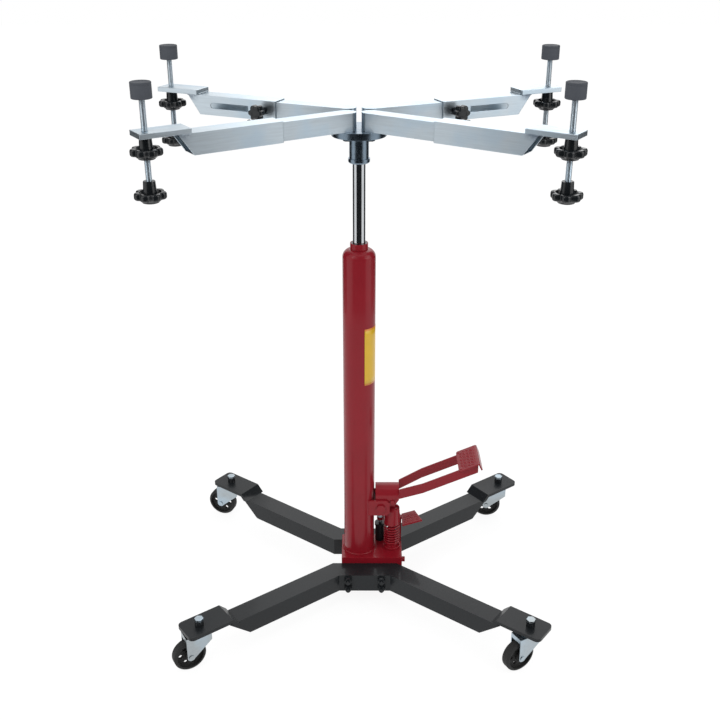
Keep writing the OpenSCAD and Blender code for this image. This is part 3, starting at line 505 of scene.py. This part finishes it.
def soften(name, width, material):
    """Gives a construction solid its finish and rounds its edges."""
    solid = frame["nodes"][name]
    solid.data.materials.clear()
    solid.data.materials.append(material)
    weld = solid.modifiers.new("weld", "WELD")
    weld.merge_threshold = 0.01 * MM
    if width:
        bevel = solid.modifiers.new("edge", "BEVEL")
        bevel.width = width
        bevel.segments = 3
        bevel.limit_method = "ANGLE"
        bevel.angle_limit = math.radians(32.0)
        bevel.miter_outer = "MITER_ARC"
        bevel.use_clamp_overlap = True
    normals = solid.modifiers.new("normals", "WEIGHTED_NORMAL")
    normals.keep_sharp = False
    normals.weight = 80
    return solid


def joint_place(name):
    """Where a joint stands at rest."""
    return Vector(JOINTS[name]["pos_m"])


def joint_axis(name):
    """A joint's axis."""
    return Vector(JOINTS[name]["axis"]).normalized()


def arm_place(corner):
    """The frame of an arm: X outwards along the tube, Z up, from the pivot on the floor."""
    out = joint_axis(corner + "_arm_extend")
    pivot = joint_place(corner + "_arm_swing")
    turn = math.atan2(out.y, out.x)
    place = Matrix.Translation((pivot.x, pivot.y, 0)) @ Matrix.Rotation(turn, 4, "Z")
    return place, pivot, turn


def star_radius(angle, core, reach, lobe, lobes):
    """Outline of a star grip: a round core with round lobes, blended where they meet."""
    pitch = math.tau / lobes
    off = (angle + pitch / 2) % pitch - pitch / 2
    centre = reach - lobe
    inside = lobe ** 2 - (centre * math.sin(off)) ** 2
    lobe_r = centre * math.cos(off) + math.sqrt(inside) if inside > 0 else 0.0
    sharp = 60
    return (core ** sharp + max(lobe_r, 1e-6) ** sharp) ** (1 / sharp)


def star_rings(rows, core, reach, lobe, lobes, steps):
    """Rings of a star grip. A row is (height, inset, roundness): 0 follows the star, 1 a circle."""
    rings = []
    count = lobes * steps
    for height, radius, roundness in rows:
        for i in range(count):
            angle = math.tau * i / count
            star = star_radius(angle, core, reach, lobe, lobes)
            r = (1 - roundness) * (star - radius) + roundness * radius
            rings.append(Vector((r * math.cos(angle), r * math.sin(angle), height)))
    return rings, count


# ---------------------------------------------------------------- pieces

def star_grip(name, place, material, body, bore=0.0):
    """A dished star grip, hub up, standing on the underside of its wheel."""
    top = GRIP_HEIGHT
    rows = [(0.0, 17.5 * MM, 1), (0.8 * MM, 19.4 * MM, 1), (3.4 * MM, 20.0 * MM, 1)]
    rows += [(4.6 * MM, 23.5 * MM, 1), (7.6 * MM, 25.5 * MM, 1)]
    rows += [(8.9 * MM, 2.6 * MM, 0), (10.6 * MM, 0.9 * MM, 0), (13.0 * MM, 0.0, 0)]
    rows += [(20.5 * MM, 0.0, 0), (23.0 * MM, 0.8 * MM, 0), (24.5 * MM, 2.4 * MM, 0)]
    rows += [(25.0 * MM, 4.6 * MM, 0), (24.7 * MM, 25.8 * MM, 1), (23.2 * MM, 24.4 * MM, 1)]
    rows += [(17.2 * MM, 21.6 * MM, 1), (15.4 * MM, 19.6 * MM, 1), (15.0 * MM, 17.8 * MM, 1)]
    rows += [(15.8 * MM, 16.4 * MM, 1), (18.0 * MM, 15.8 * MM, 1)]
    rows += [(top - 1.6 * MM, 14.0 * MM, 1), (top - 0.5 * MM, 13.6 * MM, 1), (top, 12.4 * MM, 1)]
    if bore:
        rows += [(top, 11.0 * MM, 1), (top - 1.2 * MM, 11.0 * MM, 1), (top - 1.2 * MM, bore, 1)]
        rows += [(0.0, bore, 1)]
    vertices, count = star_rings(rows, 29.4 * MM, 37.4 * MM, 11.5 * MM, 7, 18)
    faces = loft_faces(len(rows), count, not bore)
    if bore:
        last = (len(rows) - 1) * count
        for i in range(count):
            j = (i + 1) % count
            faces.append((last + i, last + j, j, i))
    placed = [place @ v for v in vertices]
    return make_piece(name, placed, faces, material, body, 38.0)


def thread(name, base, length_m, radius, pitch, depth, material, body):
    """A screw thread: a skin that follows the helix, from a base point upwards."""
    columns = 24
    profile = (radius, radius, radius - depth, radius - depth)
    per_turn = len(profile)
    steps = int(length_m / pitch * per_turn) + per_turn
    vertices = []
    for i in range(steps + 1):
        for j in range(columns):
            angle = math.tau * j / columns
            height = pitch * ((i - per_turn) / per_turn + j / columns)
            r = profile[i % per_turn] if 0 < height < length_m else radius - depth
            height = min(max(height, 0.0), length_m)
            vertices.append(base + Vector((r * math.cos(angle), r * math.sin(angle), height)))
    faces = []
    for i in range(steps):
        for j in range(columns):
            a = i * columns + j
            b = a + columns
            if j < columns - 1:
                faces.append((a, a + 1, b + 1, b))
            elif i + per_turn < steps:
                far = (i + per_turn) * columns
                faces.append((a, far, far + columns, b))
    return make_piece(name, vertices, faces, material, body, 80.0)


def clamp_knob(name, place, material, body):
    """A lobed clamp knob on its neck. The place's Z axis points away from the sleeve."""
    neck, start, end = 9.8 * MM, 21.6 * MM, 43.6 * MM
    rows = [(0.0, neck, 1), (start - 1.5 * MM, neck, 1), (start, 12.0 * MM, 1)]
    rows += [(start + 0.2 * MM, 2.6 * MM, 0), (start + 1.4 * MM, 0.7 * MM, 0)]
    rows += [(start + 3.5 * MM, 0.0, 0), (end - 5.0 * MM, 0.0, 0), (end - 2.4 * MM, 0.7 * MM, 0)]
    rows += [(end - 0.7 * MM, 2.2 * MM, 0), (end, 4.5 * MM, 0), (end, 9.0 * MM, 1)]
    rows += [(end - 0.8 * MM, 8.2 * MM, 1)]
    vertices, count = star_rings(rows, 16.4 * MM, 20.8 * MM, 7.0 * MM, 6, 16)
    placed = [place @ v for v in vertices]
    return make_piece(name, placed, loft_faces(len(rows), count), material, body, 38.0)


def rubber_pad(name, place, low, high, radius, material, body):
    """A rubber pad with bevelled rims and a moulding line under its top."""
    profile = [(0.0, low)] + arc((radius - 1.8 * MM, low + 1.8 * MM), 1.8 * MM, -90, 0)
    seam = high - 6 * MM
    profile += [(radius, seam - 0.5 * MM), (radius - 0.35 * MM, seam), (radius, seam + 0.5 * MM)]
    profile += arc((radius - 1.8 * MM, high - 1.8 * MM), 1.8 * MM, 0, 90)
    profile += [(radius - 4.5 * MM, high), (radius - 5.0 * MM, high - 0.25 * MM)]
    profile += [(0.0, high - 0.25 * MM)]
    return lathe(name, profile, place, material, body, 72, 50.0)


def tread_height(u, v, half, rib):
    """Embossing of a pedal: wavy ribs along it and a round mark in each inner corner."""
    sway, sway_pitch, rib_pitch = 2.2 * MM, 11 * MM, 8.5 * MM
    first, last, margin, ramp = 7 * MM, 56 * MM, 6 * MM, 3 * MM
    mark_along, mark_inset, mark_radius, mark_ramp = 8 * MM, 9 * MM, 5 * MM, 1.2 * MM
    wave = v + sway * math.sin(u / sway_pitch * math.tau)
    phase = math.cos(wave / rib_pitch * math.tau)
    edge = min(u - first, last - u, half - margin - abs(v))
    fade = min(1.0, max(0.0, edge / ramp))
    ribs = rib * max(0.0, phase) ** 0.7 * fade
    gap = math.hypot(u - mark_along, abs(v) - (half - mark_inset))
    mark = rib * min(1.0, max(0.0, (mark_radius - gap) / mark_ramp))
    return max(ribs, mark)


def pedal_tread(material, rib):
    """The foot pedal's pad: an embossed plate, bent down along its outer edge."""
    low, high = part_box("pedal_tread")
    sin, cos = math.sin(BAR_ANGLE), math.cos(BAR_ANGLE)
    far = high.x - TREAD_THICKNESS * cos - TREAD_FLANGE * sin
    top = low.z + (TREAD_LENGTH - TREAD_THICKNESS) * sin
    place = Matrix.Translation((far, 0, top)) @ Matrix.Rotation(-BAR_ANGLE, 4, "Y")
    half = high.y
    bend = 5.0 * MM
    inner = TREAD_THICKNESS - TREAD_LENGTH
    flat = TREAD_LENGTH - bend
    total = flat + bend * math.pi / 2 + TREAD_FLANGE + TREAD_THICKNESS - bend
    rows, columns = 74, 90
    corner = 7 * MM

    def profile(u, depth):
        """A point of the bent plate, that far along it and that deep under its skin."""
        if u < flat:
            return Vector((inner + u, 0, TREAD_THICKNESS - depth))
        centre = Vector((inner + flat, 0, TREAD_THICKNESS - bend))
        angle = min((u - flat) / bend, math.pi / 2)
        radius = bend - depth
        point = centre + radius * Vector((math.sin(angle), 0, math.cos(angle)))
        past = max(0.0, u - flat - bend * math.pi / 2)
        return point - Vector((0, 0, past))

    def half_width(u):
        """Half the plate's width there, with round corners at both ends."""
        near = max(0.0, corner - u, u - (total - corner))
        return half - corner + math.sqrt(max(0.0, corner ** 2 - near ** 2))

    vertices = []
    for layer in (0, 1):
        for i in range(rows + 1):
            u = total * i / rows
            for j in range(columns + 1):
                v = half_width(u) * (2 * j / columns - 1)
                lift = tread_height(u, v, half, rib) if layer == 0 else 0.0
                point = profile(u, TREAD_THICKNESS * layer - lift)
                vertices.append(place @ (point + Vector((0, v, 0))))
    size = (rows + 1) * (columns + 1)
    wide = columns + 1
    faces = []
    for i in range(rows):
        for j in range(columns):
            a = i * wide + j
            faces.append((a, a + 1, a + 1 + wide, a + wide)[::-1])
            faces.append((a + size, a + 1 + size, a + 1 + wide + size, a + wide + size))
    rim = list(range(columns)) + [i * wide + columns for i in range(rows)]
    rim += [rows * wide + j for j in range(columns, 0, -1)]
    rim += [i * wide for i in range(rows, 0, -1)]
    for k, a in enumerate(rim):
        b = rim[(k + 1) % len(rim)]
        faces.append((a, b, b + size, a + size)[::-1])
    piece = make_piece("pedal_tread_plate", vertices, faces, material, "pump_pedal",
                       50.0)
    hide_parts("pedal_tread")


def spring_path(low, high, centre, radius, wire, turns):
    """Centre line of the return spring, upright at both ends."""
    steps = 24
    ease = 0.5
    lift = 0.55 * wire
    body = (high - wire) - (low + wire) - 2 * lift

    def bent(t):
        """How far the wire has turned from upright to wound."""
        return 1.0 if t >= ease else math.sin(math.pi / 2 * t / ease)

    points = [Vector((radius, 0, low)), Vector((radius, 0, low + wire * 0.6))]
    for i in range(steps * turns + 1):
        t = i / steps
        z = low + wire + lift * bent(t) + body * t / turns + lift * (1 - bent(turns - t))
        points.append(Vector((radius * math.cos(math.tau * t), radius * math.sin(math.tau * t), z)))
    last = points[-1]
    points += [Vector((last.x, last.y, high - wire * 0.6)), Vector((last.x, last.y, high))]
    return [point + centre for point in points]


# ---------------------------------------------------------------- operators

class JACK_OT_arms(bpy.types.Operator):
    """Plate the inner arms and the sleeves, and lay the end plates' welds"""

    bl_idname = "jack.arms"
    bl_label = "Arms"

    def execute(self, context):
        sizes = context.scene.jack_sizes
        tint = context.scene.jack_colours
        for corner in CORNERS:
            place, pivot, turn = arm_place(corner)
            plate_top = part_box(corner + "_sleeve")[1].z
            seam_z = plate_top - END_PLATE
            seam = (END_PLATE_START + 4 * MM, END_PLATE_START + 50 * MM, seam_z)
            spot = (pivot.x, pivot.y, 0)
            sleeve = zinc_plate("zinc_sleeve_" + corner, tint.zinc, spot, turn, seam)
            inner = zinc_plate("zinc_arm_" + corner, shade(tint.zinc, 0.93), spot, turn)
            soften(corner + "_sleeve", sizes.tube_edge, sleeve)
            soften(corner + "_inner_arm", sizes.tube_edge, inner)
            half = SLEEVE_WIDTH / 2
            side_start, side_end = END_PLATE_START + 3 * MM, END_PLATE_START + 31 * MM
            for side in (-1, 1):
                start = place @ Vector((side_start, side * (half + 0.2 * MM), seam_z))
                end = place @ Vector((side_end, side * (half + 0.2 * MM), seam_z))
                tube(f"{corner}_plate_weld_{'left' if side < 0 else 'right'}", line(start, end),
                     sizes.weld, sleeve, corner + "_sleeve", ripple=0.14)
            start = place @ Vector((END_PLATE_START, -half + 3 * MM, seam_z + 0.4 * MM))
            end = place @ Vector((END_PLATE_START, half - 3 * MM, seam_z + 0.4 * MM))
            tube(corner + "_plate_weld_back", line(start, end), sizes.weld, sleeve,
                 corner + "_sleeve", ripple=0.14)
        return {"FINISHED"}


class JACK_OT_supports(bpy.types.Operator):
    """Mould the pads, thread the spindles and build the star grips and clamp knobs"""

    bl_idname = "jack.supports"
    bl_label = "Supports"

    def execute(self, context):
        sizes = context.scene.jack_sizes
        grip = finish_for(context, "grip_gloss")
        rubber = finish_for(context, "pad_rubber")
        screw = finish_for(context, "zinc_thread")
        for corner in CORNERS:
            centre = joint_place(corner + "_spindle_turn")
            at = Matrix.Translation((centre.x, centre.y, 0))
            low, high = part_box(corner + "_pad")
            pad = rubber_pad(corner + "_rubber_pad", at, low.z, high.z, (high.x - low.x) / 2,
                             rubber, corner + "_pad")
            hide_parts(corner + "_pad")
            foot, tip = (part.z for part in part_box(corner + "_spindle"))
            grip_at = Matrix.Translation((centre.x, centre.y, foot))
            star = star_grip(corner + "_star_grip", grip_at, grip, corner + "_spindle")
            rod = thread(corner + "_threaded_rod", Vector((centre.x, centre.y, foot + 6 * MM)),
                         tip - foot - 6 * MM, 7 * MM, sizes.thread_pitch, sizes.thread_depth,
                         screw, corner + "_spindle")
            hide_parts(corner + "_spindle")
            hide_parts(corner + "_spindle")
            self.lock_nut(corner, centre, grip, screw)
            self.knob(corner, grip)
        return {"FINISHED"}

    def lock_nut(self, corner, centre, grip, screw):
        """A star grip with a plated bush in its hub."""
        low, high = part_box(corner + "_lock_nut")
        body = corner + "_lock_nut"
        at = Matrix.Translation((centre.x, centre.y, low.z))
        nut = star_grip(corner + "_lock_star", at, grip, body, 7.05 * MM)
        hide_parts(corner + "_lock_nut")
        top = high.z
        ring = [(7.1 * MM, top - 3 * MM), (10.9 * MM, top - 3 * MM), (10.9 * MM, top - 0.5 * MM)]
        ring += [(10.4 * MM, top), (7.6 * MM, top), (7.1 * MM, top - 0.5 * MM)]
        ring += [(7.1 * MM, top - 3 * MM)]
        lathe(corner + "_lock_bush", ring, Matrix.Translation((centre.x, centre.y, 0)), screw, body,
              48, capped=False)

    def knob(self, corner, grip):
        """The clamp knob beside the sleeve."""
        out = joint_axis(corner + "_clamp_turn")
        centre = joint_place(corner + "_clamp_turn")
        arm = joint_place(corner + "_arm_swing")
        along = joint_axis(corner + "_arm_extend")
        offset = (centre - arm) - along * (centre - arm).dot(along)
        face = centre - out * (offset.dot(out) - SLEEVE_WIDTH / 2 - 0.3 * MM)
        turn = out.to_track_quat("Z", "Y").to_matrix().to_4x4()
        piece = clamp_knob(corner + "_lobed_knob", Matrix.Translation(face) @ turn, grip,
                           corner + "_clamp")
        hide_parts(corner + "_clamp_knob")


class JACK_OT_saddle(bpy.types.Operator):
    """Finish the saddle disc, its socket and its screws"""

    bl_idname = "jack.saddle"
    bl_label = "Saddle"

    def execute(self, context):
        sizes = context.scene.jack_sizes
        steel = finish_for(context, "saddle_steel")
        for node in ("saddle_disc", "saddle_socket", "saddle_screws"):
            soften(node, sizes.part_edge, steel)
        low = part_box("saddle_disc")[0]
        radius = (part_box("saddle_socket")[1].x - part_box("saddle_socket")[0].x) / 2 - 3 * MM
        tube("saddle_weld", circle(Vector((0, 0, low.z - 0.5 * MM)), radius + 0.5 * MM, 160),
             sizes.weld, steel, "saddle", closed=True, ripple=0.12)
        return {"FINISHED"}


class JACK_OT_column(bpy.types.Operator):
    """Paint the column, polish the ram and lay the plain film"""

    bl_idname = "jack.column"
    bl_label = "Column"

    def execute(self, context):
        sizes = context.scene.jack_sizes
        red = finish_for(context, "red_gloss")
        soften("column_tube", 0.0, red)
        soften("gland", sizes.part_edge, red)
        soften("rod_wiper", 0.4 * MM, finish_for(context, "grip_gloss"))
        soften("piston_rod", 0.6 * MM, finish_for(context, "ram_chrome"))
        soften("piston", 0.4 * MM, finish_for(context, "inner_steel"))
        soften("piston_seal", 0.4 * MM, finish_for(context, "grip_gloss"))
        soften("inner_cylinder", 0.4 * MM, finish_for(context, "inner_steel"))
        low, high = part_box("column_tube")
        radius = (high.x - low.x) / 2
        tube("column_weld", circle(Vector((0, 0, low.z + 0.8 * MM)), radius + 0.8 * MM, 220),
             1.4 * sizes.weld, red, "base", closed=True, ripple=0.10)
        self.film(context, radius)
        return {"FINISHED"}

    def film(self, context, radius):
        """A plain rectangle of film, wrapped round the side of the column."""
        middle = 0.7765
        half = 0.0845
        skin = radius + 0.25 * MM
        first, last = math.radians(-70), math.radians(8)
        columns, rows = 30, 8
        vertices = []
        for i in range(rows + 1):
            z = middle - half + 2 * half * i / rows
            for j in range(columns + 1):
                angle = first + (last - first) * j / columns
                vertices.append(Vector((skin * math.cos(angle), skin * math.sin(angle), z)))
        wide = columns + 1
        faces = [(i * wide + j, i * wide + j + 1, (i + 1) * wide + j + 1, (i + 1) * wide + j)
                 for i in range(rows) for j in range(columns)]
        finish = plain_film("yellow_film", context.scene.jack_colours.film, (0, 0, middle))
        piece = make_piece("column_film", vertices, faces, finish, "base")
        thickness = piece.modifiers.new("thickness", "SOLIDIFY")
        thickness.thickness = 0.2 * MM


class JACK_OT_base(bpy.types.Operator):
    """Coat the leg frames, the pump block and their fasteners"""

    bl_idname = "jack.base"
    bl_label = "Base"

    def execute(self, context):
        sizes = context.scene.jack_sizes
        black = finish_for(context, "black_satin")
        for node in ("front_leg_frame", "rear_leg_frame"):
            soften(node, sizes.leg_edge, black)
        soften("leg_studs", 0.7 * MM, black)
        soften("pump_block", 1.6 * MM, finish_for(context, "red_gloss"))
        soften("castor_bolts", 0.9 * MM, finish_for(context, "zinc_screw"))
        return {"FINISHED"}


class JACK_OT_castors(bpy.types.Operator):
    """Finish the castor forks and wheels"""

    bl_idname = "jack.castors"
    bl_label = "Castors"

    def execute(self, context):
        sizes = context.scene.jack_sizes
        zinc = finish_for(context, "zinc_screw")
        wheel = finish_for(context, "wheel_black")
        for corner in CORNERS:
            soften(corner + "_fork", sizes.sheet_edge, zinc)
            soften(corner + "_wheel", 1.4 * MM, wheel)
        return {"FINISHED"}


class JACK_OT_pump(bpy.types.Operator):
    """Paint the foot pump, wind its spring and emboss its pedal"""

    bl_idname = "jack.pump"
    bl_label = "Foot pump"

    def execute(self, context):
        sizes = context.scene.jack_sizes
        red = finish_for(context, "red_gloss")
        for node in ("pedal_bracket", "pedal_pivot_bolt", "pedal_hub", "pedal_bars", "pump_link",
                     "plunger", "pump_barrel"):
            soften(node, sizes.sheet_edge, red)
        pedal_tread(red, sizes.rib)
        low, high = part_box("return_spring")
        centre = joint_place("link_swing")
        outer = (high.y - low.y) / 2
        wire = 5.5 * MM
        path = spring_path(low.z, high.z, Vector((centre.x, 0, 0)), outer - wire / 2, wire, 7)
        spring = tube("coil_spring", path, wire / 2, red, "base", sides=14)
        travel = abs(JOINTS["plunger_stroke"]["range_m"][0])
        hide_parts("return_spring")
        1 - travel / (high.z - low.z)
        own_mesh(spring)
        return {"FINISHED"}


class JACK_OT_release(bpy.types.Operator):
    """Finish the release pedal and its valve"""

    bl_idname = "jack.release"
    bl_label = "Release pedal"

    def execute(self, context):
        sizes = context.scene.jack_sizes
        red = finish_for(context, "red_gloss")
        soften("release_bracket", 0.7 * MM, red)
        soften("release_pedal", sizes.sheet_edge, red)
        soften("release_valve", sizes.sheet_edge, finish_for(context, "black_satin"))
        soften("valve_stem", 0.6 * MM, finish_for(context, "zinc_screw"))
        self.ribs(red, sizes.rib)
        return {"FINISHED"}

    def ribs(self, red, rib):
        """Wavy ribs on the pedal's plate."""
        pivot = joint_place("release_pedal_press")
        place = Matrix.Translation(pivot) @ Matrix.Rotation(-RELEASE_ANGLE, 4, "Y")
        low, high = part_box("release_pedal")
        front = low.y - pivot.y
        rows, pitch, margin = 5, 9 * MM, 8 * MM
        begin, longest, taper = 16 * MM, 62 * MM, 20 * MM
        plate, sunk = 4.0 * MM, 0.6 * MM
        steps = 40
        for row in range(rows):
            v = front + margin + row * pitch
            end = longest - taper * (v - front) / (high.y - low.y)
            path = []
            for i in range(steps + 1):
                u = begin + (end - 10 * MM) * i / steps
                sway = 1.8 * MM * math.sin(u / (12 * MM) * math.tau)
                path.append(place @ Vector((u, v + sway, plate - sunk)))
            tube(f"release_rib_{row + 1}", path, rib + sunk, red, "release_pedal")


class JACK_OT_stage(bpy.types.Operator):
    """Set the floor, the lights, the dark cards that the chrome reflects, and the camera"""

    bl_idname = "jack.stage"
    bl_label = "Stage"

    def execute(self, context):
        stage = context.scene.jack_stage
        self.floor()
        self.world(context.scene, stage.sky)
        self.lamp("key_light", (-2.2, -2.6, 3.6), 2.2, stage.key)
        self.lamp("side_light", (2.8, -1.4, 2.6), 2.0, stage.fill)
        self.lamp("rear_light", (0.4, 3.0, 3.2), 2.4, stage.fill)
        for name, first, last in (("front_card", -136, -44), ("left_card", 128, 178),
                                  ("right_card", 2, 52)):
            self.card(name, first, last)
        self.camera(context.scene, stage)
        context.scene.view_settings.view_transform = "Standard"
        return {"FINISHED"}

    def floor(self):
        """A pale floor that stays white to the eye and still takes the shadow."""
        half = 14.0
        glow_level, glow_share = 1.14, 0.78
        mesh = bpy.data.meshes.new("studio_floor")
        corners = [(-half, -half, 0), (half, -half, 0), (half, half, 0), (-half, half, 0)]
        mesh.from_pydata(corners, [], [(0, 1, 2, 3)])
        floor = bpy.data.objects.new("studio_floor", mesh)
        bpy.context.scene.collection.objects.link(floor)
        finish = Shader("studio_white", (0.86, 0.86, 0.86), 0.9)
        seen = finish.seen()
        white = {"Color": (1, 1, 1, 1), "Strength": glow_level}
        glow = finish.node("ShaderNodeEmission", {}, white)
        diffuse = Signal(finish, finish.surface.outputs[0])
        mixed = {0: seen * glow_share, 1: diffuse, 2: glow}
        shown = finish.node("ShaderNodeMixShader", {}, mixed)
        finish.tree.links.new(shown.socket, finish.output.inputs["Surface"])
        mesh.materials.append(finish.material)

    def world(self, scene, strength):
        """White behind everything, and an even light on the object."""
        world = bpy.data.worlds.new("studio_world")
        world.use_nodes = True
        scene.world = world
        nodes = Nodes(world.node_tree)
        level = nodes.seen() * (1.0 - strength) + strength
        inputs = {"Color": (1, 1, 1, 1), "Strength": level}
        sky = nodes.node("ShaderNodeBackground", {}, inputs)
        output = world.node_tree.nodes.new("ShaderNodeOutputWorld")
        nodes.feed(output.inputs["Surface"], sky)

    def lamp(self, name, place, size, power):
        """A square soft light, turned towards the middle of the object."""
        light = bpy.data.lights.new(name, "AREA")
        light.size = size
        light.energy = power
        lamp = bpy.data.objects.new(name, light)
        lamp.location = place
        aim = Vector((0, 0, 0.8)) - Vector(place)
        lamp.rotation_euler = aim.to_track_quat("-Z", "Y").to_euler()
        bpy.context.scene.collection.objects.link(lamp)

    def card(self, name, first, last):
        """A dark curved card that only reflections show, from one bearing to another."""
        radius, low, high = 2.2, 0.0, 4.5
        steps = 24
        vertices = []
        for i in range(steps + 1):
            angle = math.radians(first + (last - first) * i / steps)
            spot = (radius * math.cos(angle), radius * math.sin(angle))
            vertices += [(*spot, low), (*spot, high)]
        faces = [(2 * i, 2 * i + 2, 2 * i + 3, 2 * i + 1) for i in range(steps)]
        mesh = bpy.data.meshes.new(name)
        mesh.from_pydata(vertices, [], faces)
        mesh.materials.append(Shader("card_black_" + name, (0.01, 0.011, 0.013), 0.9).material)
        card = bpy.data.objects.new(name, mesh)
        bpy.context.scene.collection.objects.link(card)
        card.visible_camera = False
        card.visible_diffuse = False
        card.visible_shadow = False
        card.visible_transmission = False

    def camera(self, scene, stage):
        """The camera at eye height in front of the jack."""
        data = bpy.data.cameras.new("camera")
        data.lens = stage.lens
        data.sensor_width = 36.0
        camera = bpy.data.objects.new("camera", data)
        camera.location = stage.place
        turn = Matrix.Rotation(stage.turn, 3, "Z") @ Matrix.Rotation(stage.tilt, 3, "X")
        camera.rotation_euler = turn.to_euler()
        scene.collection.objects.link(camera)
        scene.camera = camera


# ---------------------------------------------------------------- add-on

OPERATORS = (JACK_OT_arms, JACK_OT_supports, JACK_OT_saddle, JACK_OT_column, JACK_OT_base,
             JACK_OT_castors, JACK_OT_pump, JACK_OT_release, JACK_OT_stage)


class JACK_PT_panel(bpy.types.Panel):
    """The jack's build steps and settings"""

    bl_label = "Column Jack"
    bl_idname = "JACK_PT_panel"
    bl_space_type = "VIEW_3D"
    bl_region_type = "UI"
    bl_category = "Jack"

    def draw(self, context):
        for group in ("jack_sizes", "jack_colours", "jack_stage"):
            box = self.layout.box()
            settings = getattr(context.scene, group)
            for key in settings.__annotations__:
                box.prop(settings, key)
        for operator in OPERATORS:
            self.layout.operator(operator.bl_idname)


CLASSES = (JackSizes, JackColours, JackStage, *OPERATORS, JACK_PT_panel)


def register():
    for item in CLASSES:
        bpy.utils.register_class(item)
    bpy.types.Scene.jack_sizes = PointerProperty(type=JackSizes)
    bpy.types.Scene.jack_colours = PointerProperty(type=JackColours)
    bpy.types.Scene.jack_stage = PointerProperty(type=JackStage)


def unregister():
    del bpy.types.Scene.jack_stage
    del bpy.types.Scene.jack_colours
    del bpy.types.Scene.jack_sizes
    for item in reversed(CLASSES):
        bpy.utils.unregister_class(item)


def main():
    """Registers the add-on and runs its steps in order."""
    register()
    for operator in OPERATORS:
        step = operator.bl_idname.split(".")[1]
        getattr(bpy.ops.jack, step)()


if __name__ == "__main__":
    main()
